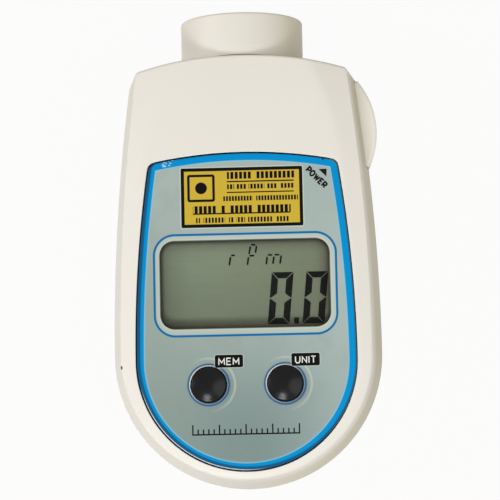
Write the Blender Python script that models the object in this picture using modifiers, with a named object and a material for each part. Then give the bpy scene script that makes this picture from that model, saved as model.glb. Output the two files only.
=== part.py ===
# Laser tachometer: a hand-held, non-contact speed meter lying on its back.
# Metres, +X right, +Y toward the lens barrel, +Z out of the front face. The back is at z = 0.

import math

import bmesh
import bpy
import numpy as np
from mathutils import Matrix, Vector

# Fits
SEAT_GAP = 0.0003          # between pieces that rest on each other
PANEL_GAP = 0.00015        # round the front panel in its pocket, and round screw shanks

# Case outline at the parting line: a half circle, long side arcs and a shallow top arc
CASE_HALF_WIDTH = 0.0373
CASE_BOTTOM_Y = -0.0653
CASE_ROUND_Y = CASE_BOTTOM_Y + CASE_HALF_WIDTH    # centre of the half circle
CASE_SIDE_RADIUS = 0.550
CASE_TOP_Y = 0.0542
CASE_TOP_RADIUS = 0.107
CASE_CORNER_RADIUS = 0.0040
PARTING_Z = 0.0180
PLATEAU_Z = 0.0365         # the flat that surrounds the front panel
SIDE_DRAFT = math.radians(10.5)
TOP_DRAFT = math.radians(3.0)
WALL = 0.0022
CEILING = 0.0024           # thickness of the front face
FLOOR = 0.0024             # thickness of the back
EDGE_ROUND = 0.0007        # front edge of the case
BACK_ROUND = 0.0045        # how far the round of the back edge comes in, at the sides
BACK_ROUND_TOP = 0.0020    # the same at the top end
BACK_ROUND_HEIGHT = 0.0050
TONGUE_WIDTH = 0.00075
TONGUE_HEIGHT = 0.0011
INNER_ROUND = 0.0010       # where the floor meets the inside of the walls

# Flanks fall away from the plateau at one slope
FLANK_SLOPE = math.radians(15.0)
PLATEAU_LAND = 0.0004      # plateau left outside the panel
SHOULDER_DROP = 0.0402     # top of the case down to where the crease leaves the panel's side
SHOULDER_RADIUS = 0.082

# Front panel in its pocket
PANEL_MARGIN = 0.0076      # inside the case's outline, at the sides
PANEL_END_MARGIN = 0.0057  # the same at the bottom end
PANEL_HALF_WIDTH = CASE_HALF_WIDTH - PANEL_MARGIN
PANEL_ROUND_Y = CASE_BOTTOM_Y + PANEL_END_MARGIN + PANEL_HALF_WIDTH
PANEL_SIDE_RADIUS = 0.350
PANEL_TOP_DROP = 0.0279
PANEL_TOP_Y = CASE_TOP_Y - PANEL_TOP_DROP
PANEL_TOP_RADIUS = 0.126
PANEL_CORNER_RADIUS = 0.0020
PANEL_THICKNESS = 0.0006
PANEL_BELOW_PLATEAU = 0.0003
PANEL_TOP_Z = PLATEAU_Z - PANEL_BELOW_PLATEAU
POCKET_FLOOR_Z = PANEL_TOP_Z - PANEL_THICKNESS - SEAT_GAP

# Display
DISPLAY_Y = -0.00935
DISPLAY_MARGIN = 0.0068    # side of the panel to the display
DISPLAY_HALF = (PANEL_HALF_WIDTH - DISPLAY_MARGIN, 0.01185)
DISPLAY_CORNER = 0.0027
PANE_MARGIN = 0.0005
PANE_HALF = (DISPLAY_HALF[0] + PANE_MARGIN, DISPLAY_HALF[1] + PANE_MARGIN)
PANE_THICKNESS = 0.0011
LCD_MARGIN = (0.0025, 0.0034)
LCD_HALF = (DISPLAY_HALF[0] + LCD_MARGIN[0], DISPLAY_HALF[1] + LCD_MARGIN[1])
LCD_THICKNESS = 0.0028
FRAME_WALL = 0.0012
FRAME_LIP = 0.0006
MOULDED_EDGE = 0.0003      # small edges of the display's and the board's pieces
FRAME_ROOM = (LCD_HALF[0] + SEAT_GAP, LCD_HALF[1] + SEAT_GAP)
FRAME_HALF = (FRAME_ROOM[0] + FRAME_WALL, FRAME_ROOM[1] + FRAME_WALL)
FRAME_TOP_Z = PLATEAU_Z - CEILING - SEAT_GAP
LCD_TOP_Z = FRAME_TOP_Z - FRAME_LIP - SEAT_GAP
LCD_BOTTOM_Z = LCD_TOP_Z - LCD_THICKNESS
STRIP_WIDTH = 0.0020
STRIP_END = 0.0010         # strip short of the display's ends

# Batteries, side by side along Y, over the battery door
CELL_RADIUS = 0.0071
CELL_LENGTH = 0.0492
CELL_NUB = (0.0026, 0.0010)
CELL_EDGE = 0.0005
CELL_CLEARANCE = 0.0005
CELL_X = CELL_RADIUS + CELL_CLEARANCE
CELL_Z = FLOOR + CELL_CLEARANCE + CELL_RADIUS
CONTACT_THICKNESS = 0.0004
CONTACT_HALF = (0.0045, 0.0050)
SPRING_LENGTH = 0.0050
SPRING_RADIUS = 0.0035
SPRING_WIRE = 0.0004
SPRING_TURNS = 3
BAY_TOP_Y = 0.0110
BAY_LENGTH = 2 * CONTACT_THICKNESS + 5 * SEAT_GAP + SPRING_LENGTH + CELL_LENGTH + CELL_NUB[1]
BAY_BOTTOM_Y = BAY_TOP_Y - BAY_LENGTH
BAY_HALF_WIDTH = CELL_X + CELL_RADIUS + CELL_CLEARANCE
BAY_ROOF_Z = CELL_Z + CELL_RADIUS + CELL_CLEARANCE
BAY_WALL = 0.0015

# Battery door, which slides toward -Y on hooks
HOOK_LENGTH = 0.0060
HOOK_REACH = 0.0014
HOOK_THICKNESS = 0.0009
HOOK_WEB = 0.0012
HOOK_ROOM = 0.0015         # bay wall to the hooks' webs
HOOK_PLACES = (-0.030, -0.010, 0.010)
DOOR_HALF_WIDTH = BAY_HALF_WIDTH + BAY_WALL + HOOK_ROOM + HOOK_WEB
DOOR_TOP_ROOM = 0.0025
DOOR_TOP_Y = BAY_TOP_Y + BAY_WALL + DOOR_TOP_ROOM
DOOR_END_HEIGHT = 0.0090   # how far it wraps up the bottom end
GRIP_GROOVES = 5
GRIP_PITCH = 0.0020
GRIP_LENGTH = 0.0140
GRIP_RADIUS = 0.0006
GRIP_END_GAP = 0.0153      # end of the case to the first groove
GRIP_Y = CASE_BOTTOM_Y + GRIP_END_GAP
FOOT_PLACES = (-0.024, -0.004)
FOOT_WIDTH = 0.0040
FOOT_REACH = 0.0040
FOOT_HEIGHT = 0.0060

# Main board and what stands on it
BOARD_THICKNESS = 0.0016
BOARD_RISE = 0.0014        # roof of the battery bay to the board
BOARD_BOTTOM_Z = BAY_ROOF_Z + BAY_WALL + BOARD_RISE
BOARD_TOP_Z = BOARD_BOTTOM_Z + BOARD_THICKNESS
BOARD_INSET = 0.0036
BOARD_NECK_INSET = 0.0128  # room for the power button
BOARD_NECK_HALF = CASE_HALF_WIDTH - BOARD_NECK_INSET
BOARD_NECK_DROP = 0.0392
CHIP_HALF = 0.0070
CHIP_HEIGHT = 0.0020
CRYSTAL_HALF = (0.00225, 0.0055)
CRYSTAL_HEIGHT = 0.0036
CRYSTAL_ROUND = 0.0012
CRYSTAL_GAP = 0.0035       # from the processor's side
SWITCH_SIZE = 0.0060
SWITCH_HEIGHT = 0.0035
PLUNGER_RADIUS = 0.0016
PLUNGER_HEIGHT = 0.00045
PLUNGER_SLACK = 0.0001     # between a fully pressed button and its switch

# Front buttons
BUTTON_X = 0.0103
BUTTON_DROP = 0.0152       # lower edge of the display to the buttons' middle
BUTTON_Y = DISPLAY_Y - DISPLAY_HALF[1] - BUTTON_DROP
BUTTON_RADIUS = 0.00465
BUTTON_DOME = 0.0015
BUTTON_PROUD = 0.0005      # straight side above the panel
BUTTON_FLANGE_LAP = 0.00095
BUTTON_FLANGE = 0.0013
BUTTON_STEM_RADIUS = 0.0020
BUTTON_TRAVEL = 0.0008

# Power button in the right side wall, seen square to the wall
POWER_HALF_CHORD = 0.0122
POWER_DROP = 0.0065        # top of the case to the button's upper end
POWER_Y = CASE_TOP_Y - POWER_HALF_CHORD - POWER_DROP
POWER_PROUD = 0.00345
POWER_HALF_HEIGHT = 0.0045
POWER_TRAVEL = 0.0020
POWER_RIM = 0.0009
POWER_FLANGE = 0.0015
POWER_FLANGE_LAP = 0.0011
POWER_SLOT_DEPTH = 0.0070
POWER_PEG_RADIUS = 0.0014
POWER_PEG_LENGTH = 0.0016
POWER_PEG_DOWN = 0.0080    # how far the peg stands below the button's middle, along the wall
POWER_PEG_DROP = PARTING_Z + SWITCH_SIZE / 2 + SEAT_GAP - BOARD_BOTTOM_Z

# Lens barrel
NOSE_RADIUS = 0.0171
NOSE_LENGTH = 0.0111       # beyond the top of the case
NOSE_TIP_Y = CASE_TOP_Y + NOSE_LENGTH
NOSE_WALL = 0.0020
NOSE_ROUND = 0.0005
NOSE_BORE = NOSE_RADIUS - NOSE_WALL
NOSE_SHOULDER = 0.0009
NOSE_PANE_RADIUS = NOSE_BORE - SEAT_GAP
NOSE_PANE = 0.0017
NOSE_PANE_DEPTH = 0.0013   # rim of the barrel to the pane
NECK_CLEARANCE = 0.0012    # flange to the inside of the back
NECK_FLANGE_LAP = 0.0009
NECK_FLANGE_RADIUS = PARTING_Z - FLOOR - NECK_CLEARANCE
NECK_RADIUS = NECK_FLANGE_RADIUS - NECK_FLANGE_LAP
NECK_WALL = 0.0020
NECK_BORE = NECK_RADIUS - NECK_WALL
NECK_LENGTH = 0.0077       # inward from the top of the case
NECK_END_Y = CASE_TOP_Y - NECK_LENGTH
NECK_FLANGE = 0.0020
NECK_FLANGE_BACK = 0.0021  # from the inside of the top wall to the flange
NECK_WEB_RISE = 0.0008
NECK_WEB_Y = CASE_TOP_Y + NECK_WEB_RISE
NECK_WEB = 0.0020

# Optics, all on axes parallel to Y
CARRIER_RADIUS = NECK_BORE - SEAT_GAP
CARRIER_FLANGE = 0.0020
CARRIER_TAIL = 0.0095      # behind the neck
CARRIER_BACK_Y = NECK_END_Y - CARRIER_TAIL
CARRIER_POST_X = 0.0090
CARRIER_POST_RADIUS = 0.0015
CARRIER_POST_LENGTH = 0.0016
LENS_RADIUS = 0.0068
CARRIER_EDGE = 0.0009      # left between the bores and the carrier's outside
LENS_RISE = CARRIER_RADIUS - LENS_RADIUS - CARRIER_EDGE
LENS_DOME = 0.0022
LENS_EDGE = 0.0018
LENS_SINK = 0.0004
LENS_FLAT_Y = NECK_WEB_Y - LENS_SINK
LENS_SEAT = 0.0008
TUNNEL_RADIUS = LENS_RADIUS - LENS_SEAT
LASER_RADIUS = 0.0028
LASER_MOUTH_RADIUS = 0.0013
LASER_DROP = CARRIER_RADIUS - LASER_RADIUS - CARRIER_EDGE
LASER_REACH = 0.0030
LASER_FRONT_Y = NECK_WEB_Y + LASER_REACH
DIODE_RADIUS = 0.0024
DIODE_LENGTH = 0.0031
DIODE_RIM = 0.0004
SENSOR_BOARD_HALF = (0.0125, 0.0113)
SENSOR_BOARD_FRONT_Y = CARRIER_BACK_Y - CARRIER_POST_LENGTH - SEAT_GAP
SENSOR_BOARD_ROOM = 0.0035
BOARD_END_Y = SENSOR_BOARD_FRONT_Y - BOARD_THICKNESS - SENSOR_BOARD_ROOM

# Screws
CASE_HEAD_RADIUS = 0.0024
CASE_SHANK_RADIUS = 0.0012
CASE_SCREW_LENGTH = 0.0220
CASE_HEAD_Z = 0.0060       # seat of the head, above the back
HEAD_HEIGHT = 0.0016
BOARD_HEAD_RADIUS = 0.0019
BOARD_SHANK_RADIUS = 0.0009
BOARD_SCREW_LENGTH = 0.0065
FRONT_BOSS_RADIUS = 0.0032
BACK_BOSS_RADIUS = 0.0039
BOARD_BOSS_RADIUS = 0.0026
BOSS_ROOT = 0.0004         # how far a boss is rooted in the face that carries it
BOSS_GAP = 0.0017          # boss or head to its neighbours
CASE_SCREW_INSET = (0.0163, 0.0107)    # upper screws: in from the side, down from the top
CASE_SCREW_RISE = 0.0323   # lower screws: up from the bottom end
CASE_SCREWS = {
    "upper": (CASE_HALF_WIDTH - CASE_SCREW_INSET[0], CASE_TOP_Y - CASE_SCREW_INSET[1]),
    "lower": (DOOR_HALF_WIDTH + HOOK_REACH + BACK_BOSS_RADIUS + SEAT_GAP, CASE_BOTTOM_Y + CASE_SCREW_RISE)}
BOARD_SCREWS = {
    "upper": (BAY_HALF_WIDTH + BAY_WALL + BOARD_HEAD_RADIUS + BOSS_GAP,
              DISPLAY_Y + FRAME_HALF[1] + BOARD_BOSS_RADIUS + BOSS_GAP),
    "lower": (BAY_HALF_WIDTH, BAY_BOTTOM_Y - BAY_WALL - BOARD_HEAD_RADIUS - BOSS_GAP)}

# Points along each stretch of an outline, and round turned pieces
ROUND_STEPS = 14
SIDE_STEPS = 8
CORNER_STEPS = 4
TOP_STEPS = 6
EDGE_STEPS = 3
BACK_STEPS = 5
PLAIN_TURN = 24
FINE_TURN = 44
BEYOND = 0.080             # cutters that pass right out of the case


def clear_scene():
    for obj in list(bpy.data.objects):
        bpy.data.objects.remove(obj)


def new_collection(name):
    made = bpy.data.collections.new(name)
    bpy.context.scene.collection.children.link(made)
    return made


def new_material(name, colour, roughness, metallic=0.0, alpha=1.0):
    made = bpy.data.materials.new(name)
    made.use_nodes = True
    shader = made.node_tree.nodes["Principled BSDF"]
    shader.inputs["Base Color"].default_value = (*colour, 1.0)
    shader.inputs["Roughness"].default_value = roughness
    shader.inputs["Metallic"].default_value = metallic
    shader.inputs["Alpha"].default_value = alpha
    made.diffuse_color = (*colour, alpha)
    return made


clear_scene()
PARTS = new_collection("laser_tachometer")
CUTTERS = new_collection("cutters")

CREAM = new_material("cream_abs", (0.80, 0.78, 0.70), 0.45)
PANEL_PRINT = new_material("panel_print", (0.46, 0.56, 0.56), 0.35)
CLEAR = new_material("clear_acrylic", (0.90, 0.95, 0.93), 0.05, alpha=0.3)
LCD_FACE = new_material("lcd_glass", (0.36, 0.40, 0.32), 0.15)
BLACK = new_material("black_abs", (0.02, 0.02, 0.022), 0.40)
RUBBER = new_material("conductive_rubber", (0.10, 0.10, 0.11), 0.70)
BOARD_GREEN = new_material("board_green", (0.03, 0.22, 0.09), 0.40)
STEEL = new_material("zinc_steel", (0.62, 0.62, 0.60), 0.30, 1.0)
BRASS = new_material("brass", (0.72, 0.52, 0.22), 0.30, 1.0)
CELL_WRAP = new_material("cell_wrap", (0.10, 0.16, 0.32), 0.40)
LENS_GLASS = new_material("lens_glass", (0.92, 0.95, 0.96), 0.02, alpha=0.3)


# Making objects

def link(name, mesh, material, place=(0, 0, 0), turn=(0, 0, 0), parent=None):
    obj = bpy.data.objects.new(name, mesh)
    obj.location = place
    obj.rotation_euler = turn
    obj.parent = parent
    if material and not mesh.materials:
        mesh.materials.append(material)
    (PARTS if material else CUTTERS).objects.link(obj)
    if not material:
        obj.hide_render = True
        obj.display_type = "WIRE"
    return obj


def finish_mesh(bm, name, sharp_angle=30.0):
    mesh = bpy.data.meshes.new(name)
    bm.to_mesh(mesh)
    bm.free()
    mesh.shade_smooth()
    mesh.set_sharp_from_angle(angle=math.radians(sharp_angle))
    return mesh


def box(name, low, high, material=None, **kwargs):
    low, high = Vector(low), Vector(high)
    bm = bmesh.new()
    bmesh.ops.create_cube(bm, size=1.0)
    bmesh.ops.scale(bm, vec=high - low, verts=bm.verts)
    bmesh.ops.translate(bm, vec=(high + low) / 2, verts=bm.verts)
    return link(name, finish_mesh(bm, name), material, **kwargs)


def rod(name, start, end, radius, material=None, end_radius=None, segments=32, **kwargs):
    """A straight round bar, or a cone where end_radius differs."""
    start, end = Vector(start), Vector(end)
    axis = end - start
    bm = bmesh.new()
    turn = Vector((0, 0, 1)).rotation_difference(axis).to_matrix().to_4x4()
    bmesh.ops.create_cone(
        bm, cap_ends=True, segments=segments, radius1=radius,
        radius2=radius if end_radius is None else end_radius, depth=axis.length,
        matrix=Matrix.Translation((start + end) / 2) @ turn)
    return link(name, finish_mesh(bm, name), material, **kwargs)


def turned(name, profile, material=None, closed=False, steps=32, **kwargs):
    """A profile of (radius, height) turned about Z, listed down its outer side."""
    mesh = bpy.data.meshes.new(name)
    count = len(profile)
    edges = [(i, i + 1) for i in range(count - 1)]
    if closed:
        edges.append((count - 1, 0))
    mesh.from_pydata([(radius, 0, height) for radius, height in profile], edges, [])
    obj = link(name, mesh, material, **kwargs)
    screw = obj.modifiers.new("turn", "SCREW")
    screw.axis = "Z"
    screw.steps = screw.render_steps = steps
    screw.use_merge_vertices = True
    screw.merge_threshold = 0.00001
    screw.use_smooth_shade = True
    return obj


def plate(name, outline, z_low, z_high, material=None, **kwargs):
    """A flat outline made thick, from a filled 2D curve that is turned into a mesh."""
    curve = bpy.data.curves.new(name, "CURVE")
    curve.dimensions = "2D"
    curve.fill_mode = "BOTH"
    curve.extrude = (z_high - z_low) / 2
    spline = curve.splines.new("POLY")
    spline.points.add(len(outline) - 1)
    for point, (x, y) in zip(spline.points, outline):
        point.co = (x, y, 0, 1)
    spline.use_cyclic_u = True
    guide = bpy.data.objects.new(name + "_curve", curve)
    CUTTERS.objects.link(guide)
    flat = bpy.data.meshes.new_from_object(guide.evaluated_get(bpy.context.evaluated_depsgraph_get()))
    bpy.data.objects.remove(guide)
    bm = bmesh.new()
    bm.from_mesh(flat)
    bpy.data.meshes.remove(flat)
    bmesh.ops.remove_doubles(bm, verts=bm.verts, dist=0.000001)
    bmesh.ops.translate(bm, vec=(0, 0, (z_low + z_high) / 2), verts=bm.verts)
    return link(name, finish_mesh(bm, name), material, **kwargs)


def loft(name, loops, material=None, sharp_angle=12.0, **kwargs):
    """Closed loops of equally many points, joined in order, with both ends capped."""
    bm = bmesh.new()
    rings = [[bm.verts.new(point) for point in loop] for loop in loops]
    for ring, upper in zip(rings, rings[1:]):
        for i in range(len(ring)):
            j = (i + 1) % len(ring)
            bm.faces.new((ring[i], ring[j], upper[j], upper[i]))
    bm.faces.new(rings[0][::-1])
    bm.faces.new(rings[-1])
    bmesh.ops.recalc_face_normals(bm, faces=bm.faces)
    return link(name, finish_mesh(bm, name, sharp_angle), material, **kwargs)


def combine(target, operation, *tools):
    for tool in tools:
        step = target.modifiers.new(tool.name, "BOOLEAN")
        step.operation = operation
        step.solver = "EXACT"
        step.object = tool


def cut(target, *tools):
    combine(target, "DIFFERENCE", *tools)


def join(target, *tools):
    combine(target, "UNION", *tools)


def soften(obj, width, segments=2, angle=40.0):
    bevel = obj.modifiers.new("rounded_edges", "BEVEL")
    bevel.width = width
    bevel.segments = segments
    bevel.limit_method = "ANGLE"
    bevel.angle_limit = math.radians(angle)
    return obj


def settled_mesh(obj):
    """The object's mesh with its modifiers worked in, for copies to share."""
    graph = bpy.context.evaluated_depsgraph_get()
    return bpy.data.meshes.new_from_object(obj.evaluated_get(graph))


# Outlines

def arc(centre, radius, start, end, steps):
    """Points on an arc from start to end, in radians, without its last point."""
    angles = start + (end - start) * np.arange(steps) / steps
    return np.column_stack([centre[0] + radius * np.cos(angles), centre[1] + radius * np.sin(angles)])


def upper_crossing(centre_a, radius_a, centre_b, radius_b):
    """The higher of the two points where two circles cross."""
    a, b = np.array(centre_a), np.array(centre_b)
    apart = np.linalg.norm(b - a)
    along = (radius_a ** 2 - radius_b ** 2 + apart ** 2) / (2 * apart)
    across = math.sqrt(radius_a ** 2 - along ** 2)
    unit = (b - a) / apart
    side = np.array([-unit[1], unit[0]])
    foot = a + along * unit
    return max(foot + across * side, foot - across * side, key=lambda point: point[1])


def bearing(centre, point):
    return math.atan2(point[1] - centre[1], point[0] - centre[0])


def shield(half_width, round_y, side_radius, top_y, top_radius, corner_radius):
    """Half circle below, two long side arcs, two small corners and a shallow top arc."""
    side_centre = (half_width - side_radius, round_y)
    top_centre = (0.0, top_y - top_radius)
    corner = upper_crossing(side_centre, side_radius - corner_radius, top_centre, top_radius - corner_radius)
    side_end = bearing(side_centre, corner)
    top_start = bearing(top_centre, corner)
    right = np.vstack([
        arc((0.0, round_y), half_width, -math.pi / 2, 0.0, ROUND_STEPS),
        arc(side_centre, side_radius, 0.0, side_end, SIDE_STEPS),
        arc(corner, corner_radius, side_end, top_start, CORNER_STEPS),
        arc(top_centre, top_radius, top_start, math.pi / 2, TOP_STEPS),
        [(0.0, top_y)]])
    left = right[-2:0:-1] * (-1, 1)
    return np.vstack([right, left])


def case_outline(side_inset, top_inset):
    return shield(
        CASE_HALF_WIDTH - side_inset, CASE_ROUND_Y, CASE_SIDE_RADIUS - side_inset, CASE_TOP_Y - top_inset,
        CASE_TOP_RADIUS - top_inset, max(CASE_CORNER_RADIUS - side_inset, CASE_CORNER_RADIUS / 4))


def case_level(z, inset=0.0):
    """The drafted case outline at height z, moved inward by inset."""
    away = abs(z - PARTING_Z)
    return case_outline(inset + away * math.tan(SIDE_DRAFT), inset + away * math.tan(TOP_DRAFT))


def panel_outline(grow=0.0):
    return shield(
        PANEL_HALF_WIDTH + grow, PANEL_ROUND_Y, PANEL_SIDE_RADIUS + grow, PANEL_TOP_Y + grow,
        PANEL_TOP_RADIUS + grow, PANEL_CORNER_RADIUS + grow)


def rounded_rectangle(half, corner, centre_y=0.0):
    places = [(1, -1, -90), (1, 1, 0), (-1, 1, 90), (-1, -1, 180)]
    corners = [
        arc((sx * (half[0] - corner), centre_y + sy * (half[1] - corner)), corner,
            math.radians(start), math.radians(start + 90), 6)
        for sx, sy, start in places]
    ends = [
        (sx * (half[0] - corner) + corner * math.cos(math.radians(start + 90)),
         centre_y + sy * (half[1] - corner) + corner * math.sin(math.radians(start + 90)))
        for sx, sy, start in places]
    return np.vstack([np.vstack([points, [end]]) for points, end in zip(corners, ends)])


def at_height(points, z):
    return np.column_stack([points, np.broadcast_to(z, len(points))])


# Front face: a plateau with flanks that fall from a crease

def crease_curve():
    """The plateau's right edge, from the bottom end up past the top of the case."""
    radius = PANEL_HALF_WIDTH + PLATEAU_LAND
    side_radius = PANEL_SIDE_RADIUS + PLATEAU_LAND
    side_centre = (radius - side_radius, PANEL_ROUND_Y)
    shoulder_y = CASE_TOP_Y - SHOULDER_DROP
    side_end = math.asin((shoulder_y - PANEL_ROUND_Y) / side_radius)
    shoulder_x = side_centre[0] + side_radius * math.cos(side_end)
    shoulder_end = math.asin(SHOULDER_DROP / SHOULDER_RADIUS) + 0.1
    return np.vstack([
        arc((0.0, PANEL_ROUND_Y), radius, -math.pi / 2, 0.0, 400),
        arc(side_centre, side_radius, 0.0, side_end, 400),
        arc((shoulder_x - SHOULDER_RADIUS, shoulder_y), SHOULDER_RADIUS, 0.0, shoulder_end, 400)])


def nearest_on_crease(points):
    """For each point, the nearest point of the crease, or the point itself on the plateau."""
    curve = crease_curve()
    sign = np.where(points[:, :1] < 0, -1.0, 1.0)
    folded = points * np.hstack([sign, np.ones_like(sign)])
    apart = np.linalg.norm(folded[:, None, :] - curve[None, :, :], axis=2)
    nearest = curve[apart.argmin(axis=1)]
    edge_x = np.interp(folded[:, 1], curve[:, 1], curve[:, 0])
    inside = (folded[:, 0] <= edge_x) & (folded[:, 1] > curve[0, 1])
    nearest[inside] = folded[inside]
    return nearest * np.hstack([sign, np.ones_like(sign)])


def front_edge():
    """Where the flanks meet the drafted wall: points, heights and the crease points above them."""
    low, high = case_level(PARTING_Z), case_level(PLATEAU_Z)
    height = np.full(len(low), PLATEAU_Z)
    for _ in range(6):
        share = ((height - PARTING_Z) / (PLATEAU_Z - PARTING_Z))[:, None]
        points = low + (high - low) * share
        crease = nearest_on_crease(points)
        height = PLATEAU_Z - math.tan(FLANK_SLOPE) * np.linalg.norm(points - crease, axis=1)
    return points, height, crease


def front_loops():
    """Loops of the front shell from its rim, up the outside and back down the inside."""
    edge, edge_z, crease = front_edge()
    low = case_level(PARTING_Z)
    inward = np.roll(edge, 1, axis=0) - np.roll(edge, -1, axis=0)
    inward = np.column_stack([inward[:, 1], -inward[:, 0]]) / np.linalg.norm(inward, axis=1)[:, None]
    reach = np.linalg.norm(crease - edge, axis=1)[:, None]
    narrow = reach < 1.3 * EDGE_ROUND
    crease = np.where(narrow, edge + 1.3 * EDGE_ROUND * inward, crease)
    edge_point = at_height(edge, edge_z)
    crease_point = at_height(crease, PLATEAU_Z)
    down = at_height(low, PARTING_Z) - edge_point
    across = crease_point - edge_point
    wall_end = edge_point + EDGE_ROUND * down / np.linalg.norm(down, axis=1)[:, None]
    flank_end = edge_point + EDGE_ROUND * across / np.linalg.norm(across, axis=1)[:, None]
    rounding = []
    for step in range(EDGE_STEPS + 1):
        share = step / EDGE_STEPS
        rounding.append((1 - share) ** 2 * wall_end + 2 * share * (1 - share) * edge_point
                        + share ** 2 * flank_end)
    rim = PARTING_Z + SEAT_GAP / 2
    groove = WALL - TONGUE_WIDTH - SEAT_GAP
    groove_z = rim + TONGUE_HEIGHT + SEAT_GAP
    inner_high = case_level(PLATEAU_Z, WALL)
    inner_low = case_level(PARTING_Z, WALL)
    inner_z = edge_z - CEILING
    share = ((inner_z - PARTING_Z) / (PLATEAU_Z - PARTING_Z))[:, None]
    inner_edge = at_height(inner_low + (inner_high - inner_low) * share, inner_z)
    inner_crease = crease + (inner_edge[:, :2] - crease) * 0.12
    settle = np.where(np.linalg.norm(inner_crease - inner_edge[:, :2], axis=1)[:, None] < EDGE_ROUND,
                      inner_edge[:, :2] + EDGE_ROUND * inward, inner_crease)
    return [
        at_height(settle, PLATEAU_Z - CEILING),
        inner_edge,
        at_height(case_level(groove_z, WALL), groove_z),
        at_height(case_level(groove_z, groove), groove_z),
        at_height(case_level(rim, groove), rim),
        at_height(case_level(rim), rim),
        *rounding,
        crease_point]


def mirrored_places(places):
    """Name and place of each screw, on both sides."""
    return [(f"{level}_{side}", (sign * x, y)) for level, (x, y) in places.items()
            for side, sign in (("left", -1), ("right", 1))]


def power_frame():
    """An empty on the side wall with its X axis square to the wall, the way the button travels."""
    lean = math.asin((POWER_Y - CASE_ROUND_Y) / CASE_SIDE_RADIUS)
    x = CASE_HALF_WIDTH - CASE_SIDE_RADIUS * (1 - math.cos(lean))
    frame = bpy.data.objects.new("power_axis", None)
    frame.location = (x, POWER_Y, PARTING_Z)
    frame.rotation_euler = (0, 0, lean)
    PARTS.objects.link(frame)
    return frame


def power_slot(frame):
    return box(
        "power_slot", (-POWER_SLOT_DEPTH, -POWER_HALF_CHORD - SEAT_GAP, -POWER_HALF_HEIGHT - SEAT_GAP),
        (POWER_SLOT_DEPTH, POWER_HALF_CHORD + SEAT_GAP, POWER_HALF_HEIGHT + SEAT_GAP), parent=frame)


def nose_hole():
    return rod("nose_hole", (0, NECK_END_Y, PARTING_Z), (0, NOSE_TIP_Y, PARTING_Z), NECK_RADIUS + SEAT_GAP,
               segments=FINE_TURN)


def upright(name, place, z_low, z_high, radius, segments=16):
    x, y = place
    return rod(name, (x, y, z_low), (x, y, z_high), radius, segments=segments)


def both_sides(x, y):
    return [("left", (-x, y)), ("right", (x, y))]


def front_shell(slot, hole):
    shell = loft("front_shell", front_loops(), CREAM)
    ceiling = PLATEAU_Z - CEILING + BOSS_ROOT
    for name, place in mirrored_places(CASE_SCREWS):
        join(shell, upright("front_boss_" + name, place, PARTING_Z + SEAT_GAP, ceiling, FRONT_BOSS_RADIUS))
    for name, place in mirrored_places(BOARD_SCREWS):
        join(shell, upright("board_boss_" + name, place, BOARD_TOP_Z + SEAT_GAP, ceiling, BOARD_BOSS_RADIUS))
    cut(shell, plate("panel_pocket", panel_outline(PANEL_GAP), POCKET_FLOOR_Z, PLATEAU_Z + WALL))
    opening = (PANE_HALF[0] + SEAT_GAP, PANE_HALF[1] + SEAT_GAP)
    cut(shell, plate("display_opening", rounded_rectangle(opening, DISPLAY_CORNER, DISPLAY_Y),
                     LCD_BOTTOM_Z, PLATEAU_Z))
    for side, place in both_sides(BUTTON_X, BUTTON_Y):
        cut(shell, upright("button_hole_" + side, place, LCD_BOTTOM_Z, PLATEAU_Z, BUTTON_RADIUS + SEAT_GAP,
                           PLAIN_TURN))
    pilot_end = CASE_HEAD_Z + CASE_SCREW_LENGTH + WALL / 2
    for name, place in mirrored_places(CASE_SCREWS):
        cut(shell, upright("case_pilot_" + name, place, PARTING_Z - WALL, pilot_end,
                           CASE_SHANK_RADIUS + PANEL_GAP, 12))
    for name, place in mirrored_places(BOARD_SCREWS):
        cut(shell, upright("board_pilot_" + name, place, BOARD_BOTTOM_Z, BOARD_TOP_Z + BOARD_SCREW_LENGTH,
                           BOARD_SHANK_RADIUS + PANEL_GAP, 8))
    cut(shell, slot, hole)
    return shell


# Back shell and battery door share one skin

def back_loops():
    """Loops of the back skin from the inside floor, over the rim and down to the flat back."""
    rim = PARTING_Z - SEAT_GAP / 2
    groove = WALL - TONGUE_WIDTH
    tongue_z = rim + TONGUE_HEIGHT
    inner_z = BACK_ROUND_HEIGHT + FLOOR / 2
    loops = [
        at_height(case_outline_back(1.0, WALL), FLOOR),
        at_height(case_outline_back(0.6, WALL), FLOOR + INNER_ROUND),
        at_height(case_level(inner_z, WALL), inner_z),
        at_height(case_level(rim, WALL), tongue_z),
        at_height(case_level(rim, groove), tongue_z),
        at_height(case_level(rim, groove), rim),
        at_height(case_level(rim), rim)]
    for step in range(BACK_STEPS + 1):
        angle = math.pi / 2 * step / BACK_STEPS
        z = BACK_ROUND_HEIGHT * (1 - math.sin(angle))
        loops.append(at_height(case_outline_back(1 - math.cos(angle)), z))
    return loops


def case_outline_back(share, inset=0.0):
    """The outline in the round of the back edge; share runs from 0 on the wall to 1 on the back."""
    drop = PARTING_Z - BACK_ROUND_HEIGHT
    return case_outline(
        inset + drop * math.tan(SIDE_DRAFT) + share * BACK_ROUND,
        inset + drop * math.tan(TOP_DRAFT) + share * BACK_ROUND_TOP)


def door_block(name, grow):
    return box(name, (-DOOR_HALF_WIDTH - grow, -BEYOND, -BEYOND),
               (DOOR_HALF_WIDTH + grow, DOOR_TOP_Y + grow, DOOR_END_HEIGHT + grow))


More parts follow.
